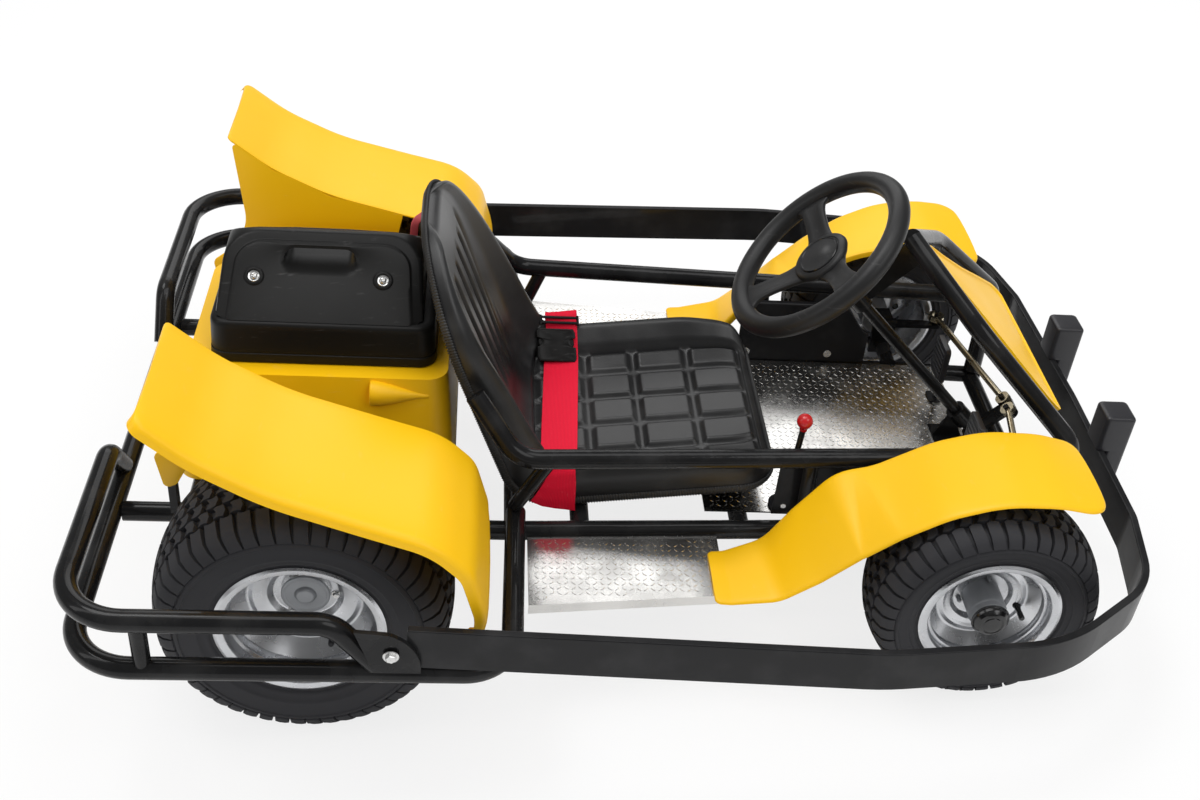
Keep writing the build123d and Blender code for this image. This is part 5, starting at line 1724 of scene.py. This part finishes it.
@dataclass(frozen=True)
class Controls:
    """Two hanging pedals with ribbed pads, and the hand lever with its boot and red knob."""

    pedal_x: float = WHEELBASE + 62
    pedal_y: tuple = (118, -118)
    foot_z: float = 20.4
    height: float = 126.0
    pad: tuple = (7, 64, 74)
    lever: tuple = ((WHEELBASE - 280, -204, 21), (WHEELBASE - 280, -210, 70), (WHEELBASE - 280, -232, 208))
    knob: tuple = (WHEELBASE - 280, -232, 220)

    def pedal(self, y: float) -> tuple[Shell, Shell]:
        """One pedal's arm and foot, and its pad with six ribs."""
        top = self.foot_z + self.height
        arm = bent([(self.pedal_x + 4, self.foot_z + 2), (self.pedal_x + 6, self.foot_z + 46),
                    (self.pedal_x - 3, top - 34), (self.pedal_x - 4, top - 8)], (30, 40), 8)
        line = resampled(np.insert(arm, 1, y, axis=1), 30)
        steel = Shell().grid(swept(line, rounded_box(13, 6, 2, 3), (1, 0, 0.1)))
        foot = np.array([(0, 0, 0), (0, 0, 3.5)]) + (self.pedal_x, y, self.foot_z - 1)
        steel.grid(swept(np.linspace(*foot, 5), rounded_box(34, 22, 4, 4), (1, 0, 0)))
        middle = top - self.pad[2] / 2
        face = Axes((self.pedal_x - 5, y, middle), (0, -1, 0), (0, 0, 1))
        outline = rounded_box(self.pad[1], self.pad[2], 9, 6)
        rows = ((1.0, -self.pad[0] + 2), (1.0, 3.5), (0.97, 5), (0.86, 5.4), (0.84, 4.6), (0.5, 4.6))
        pad = Shell().grid(np.stack([face.at(*(outline * k).T, out) for k, out in rows]))
        for place in np.linspace(-24, 24, 6):
            rib = face.at(np.linspace(-26, 26, 6), place, 4.8)
            pad.grid(swept(rib, rounded_box(4.4, 3.2, 1.2, 3), (-1, 0, 0)))
        return steel, pad

    def build(self) -> None:
        """Make the pedals, the lever and the knob."""
        steel, pads = Shell(), Shell()
        for y in self.pedal_y:
            arm, pad = self.pedal(y)
            steel.join(arm)
            pads.join(pad)
        dress(steel.build("pedal_arms", 40), BLACK_PAINT, "chassis", ("pedals",))
        dress(pads.build("pedal_pads", 40), BUFFER, "chassis")
        rod = resampled(bent(list(self.lever), 60, 10), 40)
        lever = Shell().grid(swept(rod, circle(5, 16), (1, 0, 0)))
        dress(lever.build("hand_lever_rod", 40), BLACK_PAINT, "chassis", ("hand_lever",))
        boot = Axes(self.lever[0], (1, 0, 0), (0, 1, 0))
        folds = [(0, 0.4), (0, 25), (3, 25.5), (5, 22)]
        folds += [(5 + 4.2 * n, 19.5 - 2.1 * n + 2.4 * (n % 2)) for n in range(1, 7)]
        folds += [(33, 6.2), (34, 4.8), (34, 0.4)]
        bellows = Shell().grid(boot.turn(folds, 40), round_u=True)
        dress(bellows.build("hand_lever_boot", 60), BUFFER, "chassis")
        ball = Axes(self.knob, (1, 0, 0), (0, 1, 0))
        angle = np.linspace(-1.35, np.pi / 2 - 0.03, 20)
        profile = [(-17, 0.3), (-17, 6.4), (-14.5, 6.6)]
        profile += [(13 * math.sin(a) + 0.2, 12.9 * math.cos(a)) for a in angle[3:]]
        knob = Shell().grid(ball.turn(profile, 40), round_u=True)
        dress(knob.build("lever_knob_ball", 60), RED_KNOB, "chassis", ("lever_knob",))


@dataclass(frozen=True)
class Buffers:
    """Two rubber buffers that stand over the front band, with soft edges."""

    rear: float = WHEELBASE + 258
    size: tuple = (52, 54, 150)
    y: float = 135.0
    foot: float = 41.0
    band_top: float = 122.0
    band_front: float = WHEELBASE + 275

    def build(self) -> None:
        """Each level is a round-cornered box; its back steps forward where the band passes."""
        high = np.concatenate((
            (self.foot, self.foot + 1.2, self.foot + 4, self.foot + 7),
            np.linspace(self.foot + 9, self.band_top - 0.5, 34),
            np.linspace(self.band_top + 0.5, self.foot + self.size[2] - 8, 26),
            self.foot + self.size[2] - np.array((5.5, 3, 1.2, 0)),
        ))
        end = np.minimum(high - self.foot, self.foot + self.size[2] - high)
        inset = 6 * (1 - np.sqrt(1 - np.clip(1 - end / 6, 0, 1) ** 2))
        front = self.rear + self.size[0] - inset
        back = np.where(high < self.band_top, self.band_front, self.rear) + inset
        rows = []
        for z, ahead, behind, short in zip(high, front, back, inset):
            ring = rounded_box(ahead - behind, self.size[1] - 2 * short, 7, 5)
            spot = np.array(((ahead + behind) / 2, self.y))
            rows.append(np.column_stack((ring + spot, np.full(len(ring), z))))
        shell = Shell().grid(np.stack(rows)).mirror()
        dress(shell.build("front_buffer_pair", 36), BUFFER, "chassis", ("front_buffers",))


@dataclass(frozen=True)
class TreadMarks:
    """Raised lozenges of the tread plates, in pairs that lean one way and the other."""

    pitch: float = 11.5
    length: float = 11.0
    width: float = 2.9
    height: float = 0.75

    def marks(self, spots: Points, lean: Points) -> Shell:
        """Boat-shaped lozenges: a six-cornered foot and a smaller six-cornered top.

        Args:
            spots: Middle of each lozenge.
            lean: Direction of each, in radians from X.

        Returns:
            The shell of all lozenges, seven faces each.
        """
        outline = np.array([(0.5, 0), (0.2, 0.5), (-0.2, 0.5), (-0.5, 0), (-0.2, -0.5), (0.2, -0.5)])
        rings = []
        for share, high in ((1.0, -0.3), (0.62, self.height)):
            local = outline * (self.length, self.width) * (share + 0.15 * (share < 1), share)
            turned_x = local[None, :, 0] * np.cos(lean)[:, None] - local[None, :, 1] * np.sin(lean)[:, None]
            turned_y = local[None, :, 0] * np.sin(lean)[:, None] + local[None, :, 1] * np.cos(lean)[:, None]
            flat = np.stack((turned_x, turned_y, np.full_like(turned_x, high)), axis=-1)
            rings.append(spots[:, None] + flat)
        shell = Shell()
        shell.points.append(np.concatenate(rings, axis=1).reshape(-1, 3))
        index = np.arange(len(spots) * 12).reshape(-1, 2, 6)
        ahead = np.roll(index, -1, axis=2)
        sides = np.stack((index[:, 0], ahead[:, 0], ahead[:, 1], index[:, 1]), axis=-1)
        shell.faces.append(sides.reshape(-1, 4))
        shell.faces.append(index[:, 1])
        shell.flow.append(np.zeros((index.size, 3)))
        shell.count = index.size
        return shell

    def field(self, box: tuple, height: float, inside: Callable[[Points, Points], Points]) -> Shell:
        """Lozenges over a rectangle, kept where a test of x and y says so."""
        x, y = np.meshgrid(np.arange(box[0], box[1], self.pitch), np.arange(box[2], box[3], self.pitch))
        column, row = np.meshgrid(np.arange(x.shape[1]), np.arange(x.shape[0]))
        lean = np.where((column + row) % 2 == 0, 0.78, -0.78)
        keep = inside(x, y)
        spots = np.stack((x, y, np.full_like(x, height)), axis=-1)[keep]
        return self.marks(spots, lean[keep])

    def build(self) -> None:
        """Mark the floor plate and both step plates."""

        def on_floor(x: Points, y: Points) -> Points:
            """Whether a place lies on the floor plate, which is the whole rectangle."""
            return (x > 0) & (np.abs(y) < 222)

        floor = self.field((654, 1140, -208, 212), 19.3, on_floor)
        dress(floor.build("floor_tread_marks", 30, merge=False), TREAD_PLATE, "chassis")

        def on_step(x: Points, y: Points) -> Points:
            """Whether a place lies on the step plate, clear of its edges."""
            inner = 262 - 36 * np.maximum(0, (x - 320) / 920) + 16.3
            outer = 435 - 30 * (x - 342) / 315
            return (y > inner + 13) & (y < outer - 14)

        steps = self.field((356, 650, 280, 430), 1.0, on_step).mirror()
        dress(steps.build("step_tread_marks", 30, merge=False), TREAD_PLATE, "chassis")


@dataclass(frozen=True)
class KickPlate:
    """Thin black side plates of the foot well, turned over at their tops, with a bolt near each end."""

    run: tuple = (752, 1004)
    foot_z: float = 20.0
    top_z: float = 146.0
    y: float = 226.0

    def build(self) -> None:
        """Each plate is one bent sheet swept along the foot well; its front end slopes down."""
        line = bent([(self.y, self.foot_z), (self.y + 3, self.top_z), (self.y + 13, self.top_z + 1)], 4, 6)
        loop = sheet_loop(line, -2.0)
        along = np.linspace(*self.run, 24)
        slope = 1 - 0.5 * smooth((along - self.run[1] + 60) / 60)
        height = self.foot_z + (loop[None, :, 1] - self.foot_z) * slope[:, None]
        across = loop[None, :, 0] + 0 * along[:, None]
        points = np.stack((along[:, None] + 0 * across, across, height), axis=-1)
        plates = Shell().grid(points)
        bolts = Shell()
        for x in (self.run[0] + 18, self.run[1] - 74):
            face = Axes((x, self.y - 1, self.foot_z + 18), (-1, 0, 0), (0, 0, 1))
            bolts.join(screw_head(face, 5.5, 4.5))
        dress(plates.mirror().build("foot_well_side_plates", 30), BAND_PAINT, "chassis")
        dress(bolts.mirror().build("foot_well_plate_bolts", 30), ZINC, "chassis")


@dataclass(frozen=True)
class AirScoops:
    """Moulded scoops on the rear body's flanks: a round mouth that looks back and a tapering tail."""

    mouth: tuple = (84, 172, 207)
    tail: tuple = (176, 170, 202)
    radius: float = 21.0
    deep: float = 13.0

    def build(self) -> None:
        """Rings run from the mouth's floor out to its lip, then taper along the tail by a smooth ramp."""
        start, end = np.array(self.mouth, float), np.array(self.tail, float)
        way = unit(end - start)
        stations = [(self.deep, 0.05), (self.deep, 0.66), (1.5, 0.72), (0.0, 0.78), (-0.6, 0.9), (1.0, 1.0)]
        length = float(np.linalg.norm(end - start))
        stations += [
            (4 + (length - 4) * t, 1.02 - 0.72 * float(smooth(t)) - 0.1 * t) for t in np.linspace(0, 1, 14)
        ]
        path = np.stack([start + way * place for place, _ in stations])
        sizes = np.array([size for _, size in stations]) * self.radius
        ring = circle(1.0, 36)
        rise = np.array((0.0, 0.35, 0.94))
        across = unit(np.cross(rise, way))
        away = ring[None, :, :1] * across + ring[None, :, 1:] * rise
        points = path[:, None] + sizes[:, None, None] * away
        dress(Shell().grid(points).mirror().build("rear_body_scoops", 40), YELLOW, "chassis")


@dataclass(frozen=True)
class BumperBolts:
    """Zinc hex bolts that hold the side band to the plates of the rear bumper."""

    spot: tuple = (143, 622.5, 84)

    def build(self) -> None:
        """One head on the outer face of each plate."""
        shell = screw_head(outer_face(*self.spot), 8.0, 6.5).mirror()
        dress(shell.build("bumper_band_bolts", 30), ZINC, "chassis")


def repaint_frame() -> None:
    """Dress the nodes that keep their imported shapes."""
    repaint(BLACK_PAINT, "lower_frame", "upper_frame", "guard_lugs", "column_bearing", "rear_bumper",
            "bumper_hoops", "seat_feet", "knuckle_left", "knuckle_right", "steering_column")
    repaint(BAND_PAINT, "bumper_band")
    repaint(ZINC, "rear_axle")
    repaint(CAST, "drive_unit")
    repaint(BRASS, "tie_rod_left", "tie_rod_right")
    repaint(TREAD_PLATE, "floor_plate", "step_plate_left", "step_plate_right")
    repaint(YELLOW, "rear_body")


@dataclass(frozen=True)
class Studio:
    """Pale floor, even daylight, two soft suns, three lamp boxes and the photograph's camera.

    Distances are in metres; suns are (strength, width in degrees, direction) and boxes are
    (power, size, place).
    """

    sky: float = 0.50
    shine_sky: float = 0.26
    floor_tone: float = 0.93
    floor_glow: float = 0.80
    floor_reach: float = 14.0
    suns: tuple = ((0.75, 24, (-0.30, 0.20, 1.0)), (0.55, 30, (0.75, -0.65, 1.0)))
    boxes: tuple = (
        (30.0, (3.2, 1.5), (0.1, 2.9, 2.5)),
        (24.0, (2.6, 1.2), (0.2, -0.3, 3.0)),
        (9.0, (0.5, 2.4), (-2.6, -0.9, 2.2)),
    )
    camera_from_axle: tuple = (0.359, -2.003, 1.776)
    azimuth: float = -3.341
    elevation: float = 36.910
    roll: float = 0.228
    lens: float = 42.572

    def sky_nodes(self) -> None:
        """World that the camera sees as white, that lights softly and that a shine sees as dim."""
        world = bpy.data.worlds.new("studio_sky")
        bpy.context.scene.world = world
        graph = Graph(world)
        shade = graph.add("ShaderNodeBackground", None, {"Color": WHITE, "Strength": self.sky})
        for ray, strength in (("Is Glossy Ray", self.shine_sky), ("Is Camera Ray", 1.0)):
            seen = graph.add("ShaderNodeLightPath", out=ray)
            back = graph.add("ShaderNodeBackground", None, {"Color": WHITE, "Strength": strength})
            shade = graph.add("ShaderNodeMixShader", None, {0: seen, 1: shade, 2: back})
        graph.close(shade, "ShaderNodeOutputWorld")

    def floor(self) -> None:
        """Wide pale floor under the tyres that catches the shadow."""
        edge = self.floor_reach
        corners = [(-edge, -edge, 0), (edge, -edge, 0), (edge, edge, 0), (-edge, edge, 0)]
        mesh = bpy.data.meshes.new("studio_floor")
        mesh.from_pydata(corners, [], [(0, 1, 2, 3)])
        plane = bpy.data.objects.new("studio_floor", mesh)
        bpy.context.scene.collection.objects.link(plane)
        graph = Graph(bpy.data.materials.new("studio_paper"))
        tone = graph.add("ShaderNodeBsdfDiffuse", None, {"Color": (*(self.floor_tone,) * 3, 1)})
        glow = graph.add("ShaderNodeEmission", None, {"Color": WHITE})
        seen = graph.add("ShaderNodeLightPath", out="Is Camera Ray") * self.floor_glow
        graph.close(graph.add("ShaderNodeMixShader", None, {0: seen, 1: tone, 2: glow}))
        mesh.materials.append(graph.owner)

    def light(self) -> None:
        """Wide suns by strength, angle and way, and soft boxes by power, size and place."""
        for number, (strength, angle, way) in enumerate(self.suns):
            lamp = bpy.data.lights.new(f"studio_sun_{number}", "SUN")
            lamp.energy = strength
            lamp.angle = math.radians(angle)
            self.hang(lamp, Vector(way), Vector(way))
        for number, (power, size, place) in enumerate(self.boxes):
            lamp = bpy.data.lights.new(f"studio_box_{number}", "AREA")
            lamp.energy = power
            lamp.shape = "RECTANGLE"
            lamp.size, lamp.size_y = size
            self.hang(lamp, Vector(place), Vector(place) - Vector((0.1, 0, 0.3)))

    def hang(self, lamp: bpy.types.Light, place: Vector, way: Vector) -> None:
        """Hang a lamp at a place, its back towards a way."""
        holder = bpy.data.objects.new(lamp.name, lamp)
        holder.location = place
        holder.rotation_euler = way.to_track_quat("Z", "Y").to_euler()
        bpy.context.scene.collection.objects.link(holder)

    def camera(self) -> None:
        """Camera placed from the rear axle's line, as solved from the photograph."""
        axle = STANCE.axle[0]
        az, el, roll = (math.radians(part) for part in (self.azimuth, self.elevation, self.roll))
        ahead = Vector((-math.sin(az) * math.cos(el), math.cos(az) * math.cos(el), -math.sin(el)))
        level = ahead.cross(Vector((0, 0, 1))).normalized()
        rise = level.cross(ahead)
        right = math.cos(roll) * level + math.sin(roll) * rise
        up = -math.sin(roll) * level + math.cos(roll) * rise
        lens = bpy.data.cameras.new("photo_camera")
        lens.lens = self.lens
        lens.sensor_width = 36
        lens.sensor_fit = "HORIZONTAL"
        lens.clip_end = 60
        holder = bpy.data.objects.new("photo_camera", lens)
        x, y, z = self.camera_from_axle
        turn = Matrix((right, up, -ahead)).transposed().to_4x4()
        holder.matrix_world = Matrix.Translation((x + axle, y, z)) @ turn
        bpy.context.scene.collection.objects.link(holder)
        bpy.context.scene.camera = holder

    def build(self) -> None:
        """Set up the stage."""
        bpy.context.scene.view_settings.view_transform = "Standard"
        self.sky_nodes()
        self.floor()
        self.light()
        self.camera()


def main() -> None:
    """Build every piece in order and set the stage."""
    logging.basicConfig(level=logging.INFO, format="%(name)s %(message)s")
    for side in Side:
        rear_wheel(side).build()
        front_wheel(side).build()
        RearGuard(side).build()
        FrontGuard(side).build()
    NosePanel().build()
    BatteryCase().build()
    seat = Seat()
    seat.build()
    LapBelt(seat).build()
    SteeringWheel().build()
    Controls().build()
    Buffers().build()
    TreadMarks().build()
    KickPlate().build()
    AirScoops().build()
    BumperBolts().build()
    repaint_frame()
    Studio().build()


if __name__ == "__main__":
    main()
